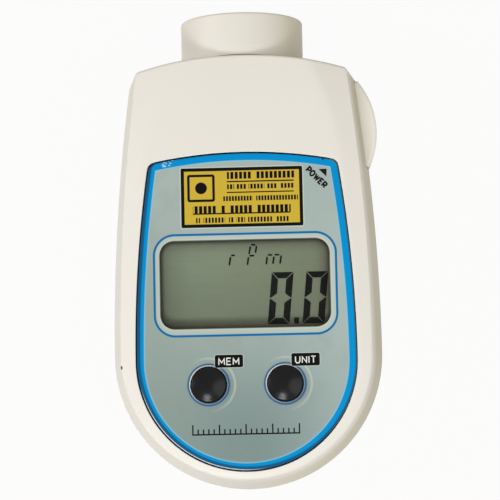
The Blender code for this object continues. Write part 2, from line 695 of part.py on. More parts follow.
def battery_bay():
    """Walls and roof of the battery bay, and the hollow inside them."""
    walls = box("bay_walls", (-BAY_HALF_WIDTH - BAY_WALL, BAY_BOTTOM_Y - BAY_WALL, FLOOR + SEAT_GAP),
                (BAY_HALF_WIDTH + BAY_WALL, BAY_TOP_Y + BAY_WALL, BAY_ROOF_Z + BAY_WALL))
    hollow = box("bay_hollow", (-BAY_HALF_WIDTH, BAY_BOTTOM_Y, -BEYOND),
                 (BAY_HALF_WIDTH, BAY_TOP_Y, BAY_ROOF_Z))
    return walls, hollow


def bay_feet():
    """Ribs that carry the bay: they pass over the door's edge and stand on the skin beside it."""
    feet = []
    rib_low = FLOOR + SEAT_GAP
    rib_high = rib_low + FOOT_HEIGHT
    near, far = BAY_HALF_WIDTH + BAY_WALL / 2, DOOR_HALF_WIDTH + FOOT_REACH
    for number, y in enumerate(FOOT_PLACES):
        low_y, high_y = y - FOOT_WIDTH / 2, y + FOOT_WIDTH / 2
        for side, sign in (("left", -1), ("right", 1)):
            inner, edge, outer = sign * near, sign * (DOOR_HALF_WIDTH + 2 * SEAT_GAP), sign * far
            feet.append(box(f"bay_rib_{number}_{side}", (min(inner, outer), low_y, rib_low),
                            (max(inner, outer), high_y, rib_high)))
            feet.append(box(f"bay_rib_foot_{number}_{side}", (min(edge, outer), low_y, FLOOR - BOSS_ROOT),
                            (max(edge, outer), high_y, rib_high - BOSS_ROOT)))
    top_y = DOOR_TOP_Y + FOOT_REACH
    feet.append(box("bay_rib_top", (-FOOT_WIDTH, BAY_TOP_Y + BAY_WALL / 2, rib_low),
                    (FOOT_WIDTH, top_y, rib_high)))
    feet.append(box("bay_rib_foot_top", (-FOOT_WIDTH, DOOR_TOP_Y + 2 * SEAT_GAP, FLOOR - BOSS_ROOT),
                    (FOOT_WIDTH, top_y, rib_high - BOSS_ROOT)))
    return feet


def rear_shell(slot, hole):
    shell = loft("rear_shell", back_loops(), CREAM)
    walls, hollow = battery_bay()
    for name, place in mirrored_places(CASE_SCREWS):
        join(shell, upright("back_boss_" + name, place, FLOOR - BOSS_ROOT, PARTING_Z - SEAT_GAP,
                            BACK_BOSS_RADIUS))
    cut(shell, door_block("door_opening", SEAT_GAP))
    join(shell, walls, *bay_feet())
    cut(shell, hollow)
    for name, place in mirrored_places(CASE_SCREWS):
        cut(shell,
            upright("head_bore_" + name, place, -FLOOR, CASE_HEAD_Z, CASE_HEAD_RADIUS + SEAT_GAP),
            upright("shank_bore_" + name, place, CASE_HEAD_Z - WALL, PARTING_Z + WALL,
                    CASE_SHANK_RADIUS + PANEL_GAP, 12))
    cut(shell, slot, hole)
    return shell


def battery_door():
    door = loft("battery_door", back_loops(), CREAM)
    combine(door, "INTERSECT", door_block("door_shape", 0.0))
    inner = DOOR_HALF_WIDTH - HOOK_WEB
    outer = DOOR_HALF_WIDTH + HOOK_REACH
    under = FLOOR + SEAT_GAP
    top = under + HOOK_THICKNESS
    for number, y in enumerate(HOOK_PLACES):
        low_y, high_y = y - HOOK_LENGTH / 2, y + HOOK_LENGTH / 2
        for side, sign in (("left", -1), ("right", 1)):
            near, edge, far = sign * inner, sign * DOOR_HALF_WIDTH, sign * outer
            join(door,
                 box(f"hook_web_{number}_{side}", (min(near, edge), low_y, FLOOR - BOSS_ROOT),
                     (max(near, edge), high_y, top)),
                 box(f"hook_lip_{number}_{side}", (min(near, far), low_y, under),
                     (max(near, far), high_y, top)))
    for number in range(GRIP_GROOVES):
        y = GRIP_Y + number * GRIP_PITCH
        cut(door, rod(f"grip_groove_{number}", (-GRIP_LENGTH / 2, y, 0), (GRIP_LENGTH / 2, y, 0),
                      GRIP_RADIUS, segments=8))
    return door


# Front panel, display and its carriers

def front_panel():
    panel = plate("front_panel", panel_outline(), PANEL_TOP_Z - PANEL_THICKNESS, PANEL_TOP_Z, PANEL_PRINT)
    cut(panel, plate("panel_window", rounded_rectangle(DISPLAY_HALF, DISPLAY_CORNER, DISPLAY_Y),
                     LCD_BOTTOM_Z, PLATEAU_Z + WALL))
    for side, place in both_sides(BUTTON_X, BUTTON_Y):
        cut(panel, upright("panel_hole_" + side, place, LCD_BOTTOM_Z, PLATEAU_Z + WALL,
                           BUTTON_RADIUS + SEAT_GAP, PLAIN_TURN))
    return panel


def display_window():
    outline = rounded_rectangle(PANE_HALF, DISPLAY_CORNER, DISPLAY_Y)
    return plate("display_window", outline, POCKET_FLOOR_Z - PANE_THICKNESS, POCKET_FLOOR_Z, CLEAR)


def display_box(name, half, z_low, z_high, material=None):
    return box(name, (-half[0], DISPLAY_Y - half[1], z_low),
               (half[0], DISPLAY_Y + half[1], z_high), material)


def lcd_frame():
    """A black tube round the display that stands on the board and ends in a thin lip."""
    frame = display_box("lcd_frame", FRAME_HALF, BOARD_TOP_Z + SEAT_GAP, FRAME_TOP_Z, BLACK)
    soften(frame, MOULDED_EDGE)
    cut(frame,
        display_box("lcd_room", FRAME_ROOM, BOARD_BOTTOM_Z, FRAME_TOP_Z - FRAME_LIP),
        plate("frame_window", rounded_rectangle(DISPLAY_HALF, DISPLAY_CORNER, DISPLAY_Y),
              LCD_BOTTOM_Z, PLATEAU_Z))
    return frame


def lcd_glass():
    return soften(display_box("lcd_glass", LCD_HALF, LCD_BOTTOM_Z, LCD_TOP_Z, LCD_FACE), MOULDED_EDGE, 1)


def connector_strips():
    """Rubber strips that join the display's two long edges to the board."""
    half_x = LCD_HALF[0] - STRIP_END
    for name, sign in (("connector_strip_upper", 1), ("connector_strip_lower", -1)):
        y = DISPLAY_Y + sign * (LCD_HALF[1] - STRIP_WIDTH)
        box(name, (-half_x, y - STRIP_WIDTH / 2, BOARD_TOP_Z + SEAT_GAP),
            (half_x, y + STRIP_WIDTH / 2, LCD_BOTTOM_Z - SEAT_GAP), RUBBER)


# Buttons and switches

def dome(radius, rise, top, steps):
    """Profile points of a round cap, from its middle outward."""
    ball = (radius ** 2 + rise ** 2) / (2 * rise)
    spread = math.asin(radius / ball)
    return [(ball * math.sin(spread * i / steps), top - ball * (1 - math.cos(spread * i / steps)))
            for i in range(steps + 1)]


def front_buttons():
    top = PANEL_TOP_Z + BUTTON_PROUD + BUTTON_DOME
    flange_top = FRAME_TOP_Z - top
    flange_bottom = flange_top - BUTTON_FLANGE
    flange_radius = BUTTON_RADIUS + BUTTON_FLANGE_LAP
    switch_top = BOARD_TOP_Z + SEAT_GAP + SWITCH_HEIGHT + PLUNGER_HEIGHT
    stem_end = switch_top + BUTTON_TRAVEL + PLUNGER_SLACK - top
    profile = dome(BUTTON_RADIUS, BUTTON_DOME, 0.0, 5)
    profile += [
        (BUTTON_RADIUS, flange_top), (flange_radius, flange_top), (flange_radius, flange_bottom),
        (BUTTON_STEM_RADIUS, flange_bottom), (BUTTON_STEM_RADIUS, stem_end), (0.0, stem_end)]
    for name, sign in (("mem_button", -1), ("unit_button", 1)):
        turned(name, profile, BLACK, steps=PLAIN_TURN, place=(sign * BUTTON_X, BUTTON_Y, top))


def tact_switch(name, place, turn=(0, 0, 0)):
    """A square push switch with its plunger along its own +Z."""
    half = SWITCH_SIZE / 2
    body = box(name, (-half, -half, 0), (half, half, SWITCH_HEIGHT), BLACK, place=place, turn=turn)
    plunger = rod(name + "_plunger", (0, 0, SWITCH_HEIGHT / 2), (0, 0, SWITCH_HEIGHT + PLUNGER_HEIGHT),
                  PLUNGER_RADIUS, segments=16, place=place, turn=turn)
    join(soften(body, MOULDED_EDGE, 1), plunger)
    return body, plunger


def button_switches():
    for name, sign in (("mem_switch", -1), ("unit_switch", 1)):
        tact_switch(name, (sign * BUTTON_X, BUTTON_Y, BOARD_TOP_Z + SEAT_GAP))


def power_back():
    """The inside face of the power button's flange, along the way it travels."""
    tall = POWER_HALF_HEIGHT + POWER_FLANGE_LAP
    return -WALL - tall * math.tan(SIDE_DRAFT) - 1.5 * SEAT_GAP - POWER_FLANGE


def power_button(frame):
    """A round-faced key that rises from the side wall and is pressed square to it."""
    radius = (POWER_HALF_CHORD ** 2 + POWER_PROUD ** 2) / (2 * POWER_PROUD)
    spread = math.asin(POWER_HALF_CHORD / radius)
    back = power_back()
    root = back + POWER_FLANGE / 2
    face = arc((POWER_PROUD - radius, 0.0), radius, -spread, spread, PLAIN_TURN)
    outline = np.vstack([
        [(root, -POWER_HALF_CHORD)], face, [(0.0, POWER_HALF_CHORD), (root, POWER_HALF_CHORD)]])
    button = plate("power_button", outline, -POWER_HALF_HEIGHT, POWER_HALF_HEIGHT, CREAM, parent=frame)
    soften(button, POWER_RIM)
    tall = POWER_HALF_HEIGHT + POWER_FLANGE_LAP
    flange = box("power_flange", (back, -POWER_HALF_CHORD, -tall),
                 (back + POWER_FLANGE, POWER_HALF_CHORD, tall), parent=frame)
    peg = rod("power_peg", (back - POWER_PEG_LENGTH, -POWER_PEG_DOWN, -POWER_PEG_DROP),
              (root, -POWER_PEG_DOWN, -POWER_PEG_DROP), POWER_PEG_RADIUS, segments=16, parent=frame)
    join(button, flange, peg)


def power_switch(frame):
    """Lies under the board, its plunger facing the button's peg."""
    plunger_tip = power_back() - POWER_PEG_LENGTH - POWER_TRAVEL - PLUNGER_SLACK
    base = plunger_tip - SWITCH_HEIGHT - PLUNGER_HEIGHT
    for obj in tact_switch("power_switch", (0, 0, 0)):
        obj.parent = frame
        obj.location = (base, -POWER_PEG_DOWN, -POWER_PEG_DROP)
        obj.rotation_euler = (0, math.pi / 2, 0)


# Lens barrel and optics

def along_y(axis_z):
    """Place and turn of a piece turned about an axis that runs along +Y at height axis_z."""
    return {"place": (0, 0, axis_z), "turn": (-math.pi / 2, 0, 0)}


def nose_barrel():
    shoulder_bore = NOSE_BORE - NOSE_SHOULDER
    shoulder_y = NOSE_TIP_Y - NOSE_PANE_DEPTH - NOSE_PANE - SEAT_GAP
    back = CASE_TOP_Y - WALL
    rounded = 0.3 * NOSE_ROUND
    sleeve = turned("nose_barrel", [
        (NOSE_BORE, NOSE_TIP_Y), (NOSE_RADIUS - NOSE_ROUND, NOSE_TIP_Y),
        (NOSE_RADIUS - rounded, NOSE_TIP_Y - rounded), (NOSE_RADIUS, NOSE_TIP_Y - NOSE_ROUND),
        (NOSE_RADIUS, back), (shoulder_bore, back), (shoulder_bore, shoulder_y), (NOSE_BORE, shoulder_y)],
        CREAM, closed=True, steps=FINE_TURN, **along_y(PARTING_Z))
    centre_y = CASE_TOP_Y - CASE_TOP_RADIUS
    wide = CASE_TOP_RADIUS + SEAT_GAP
    narrow = wide - math.tan(TOP_DRAFT) * PARTING_Z
    for name, top in (("case_clearance_front", 2 * PARTING_Z), ("case_clearance_back", 0.0)):
        cut(sleeve, rod(name, (0, centre_y, PARTING_Z), (0, centre_y, top), wide, end_radius=narrow,
                        segments=120))
    web_top = NECK_WEB_Y + NECK_WEB
    web_radius = (NOSE_BORE + NOSE_RADIUS) / 2
    flange_front = CASE_TOP_Y - WALL - NECK_FLANGE_BACK
    flange_back = flange_front - NECK_FLANGE
    neck = turned("nose_neck", [
        (NECK_BORE, web_top), (web_radius, web_top), (web_radius, NECK_WEB_Y),
        (NECK_RADIUS, NECK_WEB_Y), (NECK_RADIUS, flange_front), (NECK_FLANGE_RADIUS, flange_front),
        (NECK_FLANGE_RADIUS, flange_back), (NECK_RADIUS, flange_back), (NECK_RADIUS, NECK_END_Y),
        (NECK_BORE, NECK_END_Y)],
        closed=True, **along_y(PARTING_Z))
    join(sleeve, neck)


def nose_window():
    front = NOSE_TIP_Y - NOSE_PANE_DEPTH
    back = front - NOSE_PANE
    profile = [(0, front), (NOSE_PANE_RADIUS, front), (NOSE_PANE_RADIUS, back), (0, back)]
    turned("nose_window", profile, CLEAR, **along_y(PARTING_Z))


def lens_carrier():
    flange_back = NECK_WEB_Y + NECK_WEB + SEAT_GAP
    flange_radius = NOSE_BORE - NOSE_SHOULDER - SEAT_GAP
    carrier = turned("lens_carrier", [
        (0, flange_back + CARRIER_FLANGE), (flange_radius, flange_back + CARRIER_FLANGE),
        (flange_radius, flange_back), (CARRIER_RADIUS, flange_back), (CARRIER_RADIUS, CARRIER_BACK_Y),
        (0, CARRIER_BACK_Y)], BLACK, **along_y(PARTING_Z))
    for side, sign in (("left", -1), ("right", 1)):
        x = sign * CARRIER_POST_X
        join(carrier, rod("carrier_post_" + side, (x, CARRIER_BACK_Y - CARRIER_POST_LENGTH, PARTING_Z),
                          (x, CARRIER_BACK_Y + WALL, PARTING_Z), CARRIER_POST_RADIUS, segments=12))
    lens_z = PARTING_Z + LENS_RISE
    laser_z = PARTING_Z - LASER_DROP
    start = CARRIER_BACK_Y - WALL
    for name, from_y, z, radius in (
            ("lens_seat", LENS_FLAT_Y - SEAT_GAP, lens_z, LENS_RADIUS + SEAT_GAP / 2),
            ("light_tunnel", start, lens_z, TUNNEL_RADIUS),
            ("laser_bore", start, laser_z, LASER_RADIUS + SEAT_GAP)):
        cut(carrier, rod(name, (0, from_y, z), (0, NOSE_TIP_Y, z), radius, segments=PLAIN_TURN))


def collecting_lens():
    top = LENS_FLAT_Y + LENS_EDGE + LENS_DOME
    profile = dome(LENS_RADIUS, LENS_DOME, top, 4) + [(LENS_RADIUS, LENS_FLAT_Y), (0, LENS_FLAT_Y)]
    turned("collecting_lens", profile, LENS_GLASS, steps=PLAIN_TURN, **along_y(PARTING_Z + LENS_RISE))


def laser_module():
    laser_z = PARTING_Z - LASER_DROP
    front, back = LASER_FRONT_Y, CARRIER_BACK_Y
    profile = [(0, front), (LASER_RADIUS, front), (LASER_RADIUS, back), (0, back)]
    module = turned("laser_module", profile, BRASS, steps=PLAIN_TURN, **along_y(laser_z))
    cut(module, rod("laser_mouth", (0, LASER_FRONT_Y - LASER_MOUTH_RADIUS, laser_z),
                    (0, NOSE_TIP_Y, laser_z), LASER_MOUTH_RADIUS, segments=12))


def sensor_board():
    half_x, half_z = SENSOR_BOARD_HALF
    back = SENSOR_BOARD_FRONT_Y - BOARD_THICKNESS
    box("sensor_board", (-half_x, back, PARTING_Z - half_z),
        (half_x, SENSOR_BOARD_FRONT_Y, PARTING_Z + half_z), BOARD_GREEN)
    base = SENSOR_BOARD_FRONT_Y + SEAT_GAP
    tip = base + DIODE_LENGTH
    can = DIODE_RADIUS - DIODE_RIM
    rim = base + 2 * DIODE_RIM
    profile = [(0, tip), (can, tip), (can, rim), (DIODE_RADIUS, rim), (DIODE_RADIUS, base), (0, base)]
    turned("photodiode", profile, STEEL, steps=PLAIN_TURN, **along_y(PARTING_Z + LENS_RISE))


# Main board

def main_board():
    outline = case_outline(BOARD_INSET, BOARD_INSET)
    board = plate("main_board", outline, BOARD_BOTTOM_Z, BOARD_TOP_Z, BOARD_GREEN)
    cut(board, box("board_end", (-BEYOND, BOARD_END_Y, 0), (BEYOND, BEYOND, BEYOND)))
    for side, sign in (("left", -1), ("right", 1)):
        near, far = sign * BOARD_NECK_HALF, sign * BEYOND
        cut(board, box("board_neck_" + side, (min(near, far), CASE_TOP_Y - BOARD_NECK_DROP, 0),
                       (max(near, far), BEYOND, BEYOND)))
    for name, place in mirrored_places(CASE_SCREWS):
        if place[1] < BOARD_END_Y:
            cut(board, upright("board_notch_" + name, place, 0, BEYOND, FRONT_BOSS_RADIUS + SEAT_GAP))
    for name, place in mirrored_places(BOARD_SCREWS):
        cut(board, upright("board_hole_" + name, place, 0, BEYOND, BOARD_SHANK_RADIUS + PANEL_GAP, 8))


def board_parts():
    base = BOARD_TOP_Z + SEAT_GAP
    chip = box("processor", (-CHIP_HALF, DISPLAY_Y - CHIP_HALF, base),
               (CHIP_HALF, DISPLAY_Y + CHIP_HALF, base + CHIP_HEIGHT), BLACK)
    soften(chip, MOULDED_EDGE, 1)
    half_x, half_y = CRYSTAL_HALF
    x = CHIP_HALF + CRYSTAL_GAP
    crystal = box("quartz_crystal", (x, DISPLAY_Y - half_y, base),
                  (x + 2 * half_x, DISPLAY_Y + half_y, base + CRYSTAL_HEIGHT), STEEL)
    soften(crystal, CRYSTAL_ROUND)


# Screws

def screw_shape(name, head_radius, shank_radius, length):
    """A pan-head screw pointing up, its head below z = 0, with a cross recess."""
    taper = length - 1.5 * shank_radius
    side = -0.6 * HEAD_HEIGHT
    sample = turned(name, [
        (0, length), (shank_radius * 0.3, length), (shank_radius, taper), (shank_radius, 0),
        (head_radius, 0), (head_radius, side), (0.7 * head_radius, -HEAD_HEIGHT), (0, -HEAD_HEIGHT)],
        steps=12)
    arm, width = 0.62 * head_radius, 0.18 * head_radius
    bars = [box(f"{name}_slot_{number}", (-x, -y, -2 * HEAD_HEIGHT), (x, y, -0.4 * HEAD_HEIGHT))
            for number, (x, y) in enumerate([(arm, width), (width, arm)])]
    cut(sample, *bars)
    mesh = settled_mesh(sample)
    for obj in [sample, *bars]:
        bpy.data.objects.remove(obj)
    return mesh


def screws():
    case_mesh = screw_shape("case_screw", CASE_HEAD_RADIUS, CASE_SHANK_RADIUS, CASE_SCREW_LENGTH)
    for name, place in mirrored_places(CASE_SCREWS):
        link("case_screw_" + name, case_mesh, STEEL, place=(*place, CASE_HEAD_Z - SEAT_GAP))
    board_mesh = screw_shape("board_screw", BOARD_HEAD_RADIUS, BOARD_SHANK_RADIUS, BOARD_SCREW_LENGTH)
    for name, place in mirrored_places(BOARD_SCREWS):
        link("board_screw_" + name, board_mesh, STEEL, place=(*place, BOARD_BOTTOM_Z - SEAT_GAP))


# Batteries and contacts

def helix(name, place, material):
    curve = bpy.data.curves.new(name, "CURVE")
    curve.dimensions = "3D"
    curve.bevel_depth = SPRING_WIRE
    curve.bevel_resolution = 1
    curve.use_fill_caps = True
    spline = curve.splines.new("POLY")
    count = SPRING_TURNS * 10 + 1
    spline.points.add(count - 1)
    rise = SPRING_LENGTH - 2 * SPRING_WIRE
    for i, point in enumerate(spline.points):
        share = i / (count - 1)
        angle = 2 * math.pi * SPRING_TURNS * share
        x, z = SPRING_RADIUS * math.cos(angle), SPRING_RADIUS * math.sin(angle)
        point.co = (x, SPRING_WIRE + rise * share, z, 1)
    obj = bpy.data.objects.new(name, curve)
    obj.location = place
    curve.materials.append(material)
    PARTS.objects.link(obj)


def batteries():
    """Two cells in series: the left one's plus end is up, the right one's is down."""
    nub_radius, nub_height = CELL_NUB
    half = CELL_LENGTH + nub_height
    inner = CELL_RADIUS - CELL_EDGE
    profile = [
        (0, half), (nub_radius, half), (nub_radius, CELL_LENGTH), (inner, CELL_LENGTH),
        (CELL_RADIUS, CELL_LENGTH - CELL_EDGE), (CELL_RADIUS, CELL_EDGE), (inner, 0), (0, 0)]
    spring_room = 2 * SEAT_GAP + CONTACT_THICKNESS + SPRING_LENGTH + SEAT_GAP
    for side, sign in (("left", 1), ("right", -1)):
        x = -sign * CELL_X
        minus_y = BAY_BOTTOM_Y if sign > 0 else BAY_TOP_Y
        plus_y = BAY_TOP_Y if sign > 0 else BAY_BOTTOM_Y
        turned("battery_" + side, profile, CELL_WRAP, steps=PLAIN_TURN,
               place=(x, minus_y + sign * spring_room, CELL_Z), turn=(-sign * math.pi / 2, 0, 0))
        for end, wall, way in (("minus", minus_y, sign), ("plus", plus_y, -sign)):
            near, far = wall + way * SEAT_GAP, wall + way * (SEAT_GAP + CONTACT_THICKNESS)
            box(f"contact_{end}_{side}", (x - CONTACT_HALF[0], min(near, far), CELL_Z - CONTACT_HALF[1]),
                (x + CONTACT_HALF[0], max(near, far), CELL_Z + CONTACT_HALF[1]), STEEL)
        start = minus_y + sign * (2 * SEAT_GAP + CONTACT_THICKNESS)
        helix("battery_spring_" + side, (x, min(start, start + sign * SPRING_LENGTH), CELL_Z), STEEL)


def build():
    frame = power_frame()
    bpy.context.view_layer.update()
    slot = power_slot(frame)
    hole = nose_hole()
    front_shell(slot, hole)
    rear_shell(slot, hole)
    battery_door()
    front_panel()
    display_window()
    lcd_frame()
    lcd_glass()
    connector_strips()
    front_buttons()
    button_switches()
    power_button(frame)
    power_switch(frame)
    nose_barrel()
    nose_window()
    lens_carrier()
    collecting_lens()
    laser_module()
    sensor_board()
    main_board()
    board_parts()
    screws()
    batteries()


build()
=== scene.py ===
import math

import bmesh
import bpy
import numpy as np
from mathutils import Matrix


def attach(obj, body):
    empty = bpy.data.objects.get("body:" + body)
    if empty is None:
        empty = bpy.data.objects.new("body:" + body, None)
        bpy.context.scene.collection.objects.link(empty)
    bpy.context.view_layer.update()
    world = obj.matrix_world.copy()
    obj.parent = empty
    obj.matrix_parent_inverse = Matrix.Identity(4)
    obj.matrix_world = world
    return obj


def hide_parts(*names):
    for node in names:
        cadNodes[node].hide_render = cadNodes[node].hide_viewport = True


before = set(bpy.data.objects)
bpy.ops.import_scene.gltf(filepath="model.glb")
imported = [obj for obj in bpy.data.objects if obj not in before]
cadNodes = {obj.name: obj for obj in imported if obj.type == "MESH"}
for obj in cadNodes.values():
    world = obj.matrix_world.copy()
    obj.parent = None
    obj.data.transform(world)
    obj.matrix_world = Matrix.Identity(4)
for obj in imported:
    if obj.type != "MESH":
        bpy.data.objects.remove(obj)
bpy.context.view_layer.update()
print("frame loaded,", len(cadNodes), "nodes")

# Everything is in metres: +X to the power key, +Y to the lens barrel, +Z out of the display face


# Camera and light

cameraLook = {
    "place": (0.01465, -0.0420, 0.5365),
    "target": (0.00155, -0.0003, 0.0365),
    "roll": 1.2,               # degrees that the picture is turned
    "lens": 133.84,
    "sensor": 36.0,
}

studio = {
    "worldStrength": 0.32,
    "worldColour": (1.0, 0.955, 0.74),
    "lamps": [                 # name, direction from the object, distance, size, power, colour
        ("key", (-0.13, -0.62, 0.77), 0.90, 0.25, 3.25, (0.96, 0.96, 1.0)),
        ("leftFill", (-0.88, 0.08, 0.44), 0.90, 0.44, 3.05, (0.96, 0.96, 1.0)),
        ("rightFill", (0.54, -0.18, 0.82), 0.90, 0.75, 2.9, (0.96, 0.96, 1.0)),
    ],
    "floorGlow": 0.955,        # share of plain white in what the camera sees of the floor
    "floorColours": ((0.43, 0.40, 0.32, 1.0), (0.40, 0.37, 0.29, 1.0)),
}


def unitRows(vectors):
    return vectors / np.linalg.norm(vectors, axis=-1, keepdims=True)


def stand(name, data, axes, place):
    # The camera or a lamp, with its own X, Y and Z directions as the rows of axes
    matrix = np.eye(4)
    matrix[:3, :3] = np.transpose(axes)
    matrix[:3, 3] = place
    obj = bpy.data.objects.new(name, data)
    obj.matrix_world = Matrix(matrix.tolist())
    bpy.context.scene.collection.objects.link(obj)
    return obj


def addCamera():
    place = np.array(cameraLook["place"])
    forward = unitRows(np.array(cameraLook["target"]) - place)
    right = unitRows(np.cross(forward, (0.0, 1.0, 0.0)))
    up = np.cross(right, forward)
    turn = math.radians(cameraLook["roll"])
    across = math.cos(turn) * right - math.sin(turn) * up
    over = math.sin(turn) * right + math.cos(turn) * up
    lens = bpy.data.cameras.new("camera")
    lens.lens = cameraLook["lens"]
    lens.sensor_width = cameraLook["sensor"]
    lens.clip_start = 0.01
    bpy.context.scene.camera = stand("camera", lens, (across, over, -forward), place)


def addLamp(name, direction, distance, size, power, colour):
    lamp = bpy.data.lights.new(name, "AREA")
    lamp.shape = "DISK"
    lamp.size = size
    lamp.energy = power
    lamp.color = colour
    back = unitRows(np.array(direction))
    side = unitRows(np.cross((0.0, 1.0, 0.0), back))
    stand(name, lamp, (side, np.cross(back, side), back), back * distance)


# Shader nodes written as Python expressions

class Wire:
    # One output of a material's nodes: arithmetic on it adds Math nodes
    def __init__(self, finish, socket):
        self.finish = finish
        self.socket = socket

    def __add__(self, other):
        return self.finish.maths("ADD", self, other)

    def __sub__(self, other):
        return self.finish.maths("SUBTRACT", self, other)

    def __rsub__(self, other):
        return self.finish.maths("SUBTRACT", other, self)

    def __mul__(self, other):
        return self.finish.maths("MULTIPLY", self, other)

    def __truediv__(self, other):
        return self.finish.maths("DIVIDE", self, other)

    def __rtruediv__(self, other):
        return self.finish.maths("DIVIDE", other, self)

    def __abs__(self):
        return self.finish.maths("ABSOLUTE", self)

    __radd__ = __add__
    __rmul__ = __mul__


def srgb(red, green, blue):
    # A colour picked on screen, 0 to 255, as the linear colour a shader takes
    value = np.array([red, green, blue]) / 255.0
    linear = np.where(value <= 0.04045, value / 12.92, ((value + 0.055) / 1.055) ** 2.4)
    return (*linear.tolist(), 1.0)


class Wiring:
    # The nodes of one node tree, all made by one method
    def __init__(self, tree):
        self.tree = tree

    def node(self, kind, settings, values, output=0):
        made = self.tree.nodes.new(kind)
        for name, value in settings.items():
            setattr(made, name, value)
        for key, value in values.items():
            if isinstance(value, Wire):
                self.tree.links.new(value.socket, made.inputs[key])
            else:
                made.inputs[key].default_value = value
        return Wire(self, made.outputs[output])

    def maths(self, operation, *terms):
        return self.node("ShaderNodeMath", {"operation": operation}, dict(enumerate(terms)))

    def lowest(self, a, b):
        return self.maths("MINIMUM", a, b)

    def highest(self, a, b):
        return self.maths("MAXIMUM", a, b)

    def seenRays(self):
        # 1 for rays from the camera, gloss and glass, 0 for the rest
        seen = self.node("ShaderNodeLightPath", {}, {}, "Is Camera Ray")
        outputs = seen.socket.node.outputs
        for ray in ("Is Glossy Ray", "Is Transmission Ray"):
            seen = self.highest(seen, Wire(self, outputs[ray]))
        return seen

    def surface(self, output, share, below, above):
        # Two shaders mixed by the share, on the tree's output node
        mixed = self.node("ShaderNodeMixShader", {}, {0: share, 1: below, 2: above})
        self.tree.links.new(mixed.socket, self.tree.nodes[output].inputs["Surface"])


class Finish(Wiring):
    # One material round its Principled shader; `tone` is its colour so far
    def __init__(self, name, **constants):
        self.material = bpy.data.materials.new(name)
        self.material.use_nodes = True
        super().__init__(self.material.node_tree)
        self.shader = self.tree.nodes["Principled BSDF"]
        self.place = self.node("ShaderNodeTexCoord", {}, {}, "Object")
        split = self.node("ShaderNodeSeparateXYZ", {}, {0: self.place}).socket.node
        self.axes = [Wire(self, output) for output in split.outputs]
        for name, value in constants.items():
            self.shader.inputs[name.replace("_", " ")].default_value = value

    def span(self, a, b):
        return self.maths("SQRT", a * a + b * b)

    def mix(self, share, below, above):
        settings = {"data_type": "RGBA", "clamp_factor": True}
        return self.node("ShaderNodeMix", settings, {0: share, 6: below, 7: above}, 2)

    def ground(self, share, below, above):
        self.tone = self.mix(share, srgb(*below), srgb(*above))

    def paint(self, share, colour):
        # Lays a colour over those before it
        self.tone = self.mix(share, self.tone, colour if isinstance(colour, Wire) else srgb(*colour))

    def over(self, value, at, soft):
        # 0 below the level `at`, 1 above it, with an edge `soft` wide
        return self.node("ShaderNodeMapRange", {"interpolation_type": "SMOOTHSTEP"},
                         {"Value": value, "From Min": at - soft / 2, "From Max": at + soft / 2})

    def under(self, value, at, soft):
        return 1.0 - self.over(value, at, soft)

    def stretched(self, scale):
        return self.node("ShaderNodeMapping", {}, {"Vector": self.place, "Scale": scale})

    def noise(self, scale, detail=2.0, roughness=0.5, vector=None):
        values = {"Vector": vector or self.place, "Scale": scale, "Detail": detail, "Roughness": roughness}
        return self.node("ShaderNodeTexNoise", {}, values, "Fac")

    def uneven(self, level, swing, scale, detail=2.0):
        return level + (self.noise(scale, detail) - 0.5) * swing

    def bump(self, height, strength, distance=0.0001):
        return self.node("ShaderNodeBump", {}, {"Height": height, "Strength": strength, "Distance": distance})

    def feed(self, **sockets):
        sockets["Base_Color"] = self.tone
        for name, wire in sockets.items():
            self.tree.links.new(wire.socket, self.shader.inputs[name.replace("_", " ")])
        return self.material


# Mesh making

meshLook = {
    "weld": 2e-7,                  # points closer than this become one
    "pole": 1e-7,                  # a row of points smaller than this is a pole and gets no cap
    "sharpAngle": math.radians(32.0),
}


def shapeFromGrid(name, grid, closedRows=False):
    # A surface P(row, column) on a grid of points. Columns close on themselves; the first and last rows get
    # flat caps, or meet in a pole where all their points are one
    rows, columns = grid.shape[:2]
    index = np.arange(rows * columns).reshape(rows, columns)
    near = index if closedRows else index[:-1]
    far = np.roll(index, -1, axis=0) if closedRows else index[1:]
    quads = np.stack([near, np.roll(near, -1, axis=1), np.roll(far, -1, axis=1), far], axis=-1)
    faces = quads.reshape(-1, 4).tolist()
    if not closedRows:
        ends = [row for row in (0, -1) if np.ptp(grid[row], axis=0).max() > meshLook["pole"]]
        faces += [index[row].tolist() for row in ends]
    mesh = bpy.data.meshes.new(name)
    mesh.from_pydata(grid.reshape(-1, 3).tolist(), [], faces)
    return tidied(name, mesh)


def tidied(name, mesh):
    # The mesh as an object, its doubles merged and its faces turned outwards
    bm = bmesh.new()
    bm.from_mesh(mesh)
    bmesh.ops.remove_doubles(bm, verts=bm.verts, dist=meshLook["weld"])
    bmesh.ops.recalc_face_normals(bm, faces=bm.faces)
    bm.to_mesh(mesh)
    bm.free()
    obj = bpy.data.objects.new(name, mesh)
    bpy.context.scene.collection.objects.link(obj)
    return obj


def atHeight(points, z):
    return np.column_stack([points, np.broadcast_to(z, len(points))])


def bend(start, corner, end, steps):
    # The curve (1-s)^2 a + 2 s (1-s) c + s^2 b from a to b, which leaves a toward c; one row for each s
    s = np.linspace(0.0, 1.0, steps + 1).reshape(-1, *[1] * np.ndim(start))
    return (1 - s) ** 2 * start + 2 * s * (1 - s) * corner + s ** 2 * end


def curvedCorners(corners, reach, steps=6):
    # Each corner becomes a curve between the points that lie `reach` from it toward its two neighbours
    corners = np.asarray(corners, float)
    reach = np.broadcast_to(reach, len(corners))[:, None]
    before = corners + reach * unitRows(np.roll(corners, 1, axis=0) - corners)
    after = corners + reach * unitRows(np.roll(corners, -1, axis=0) - corners)
    return bend(before, corners, after, steps).swapaxes(0, 1).reshape(-1, 2)


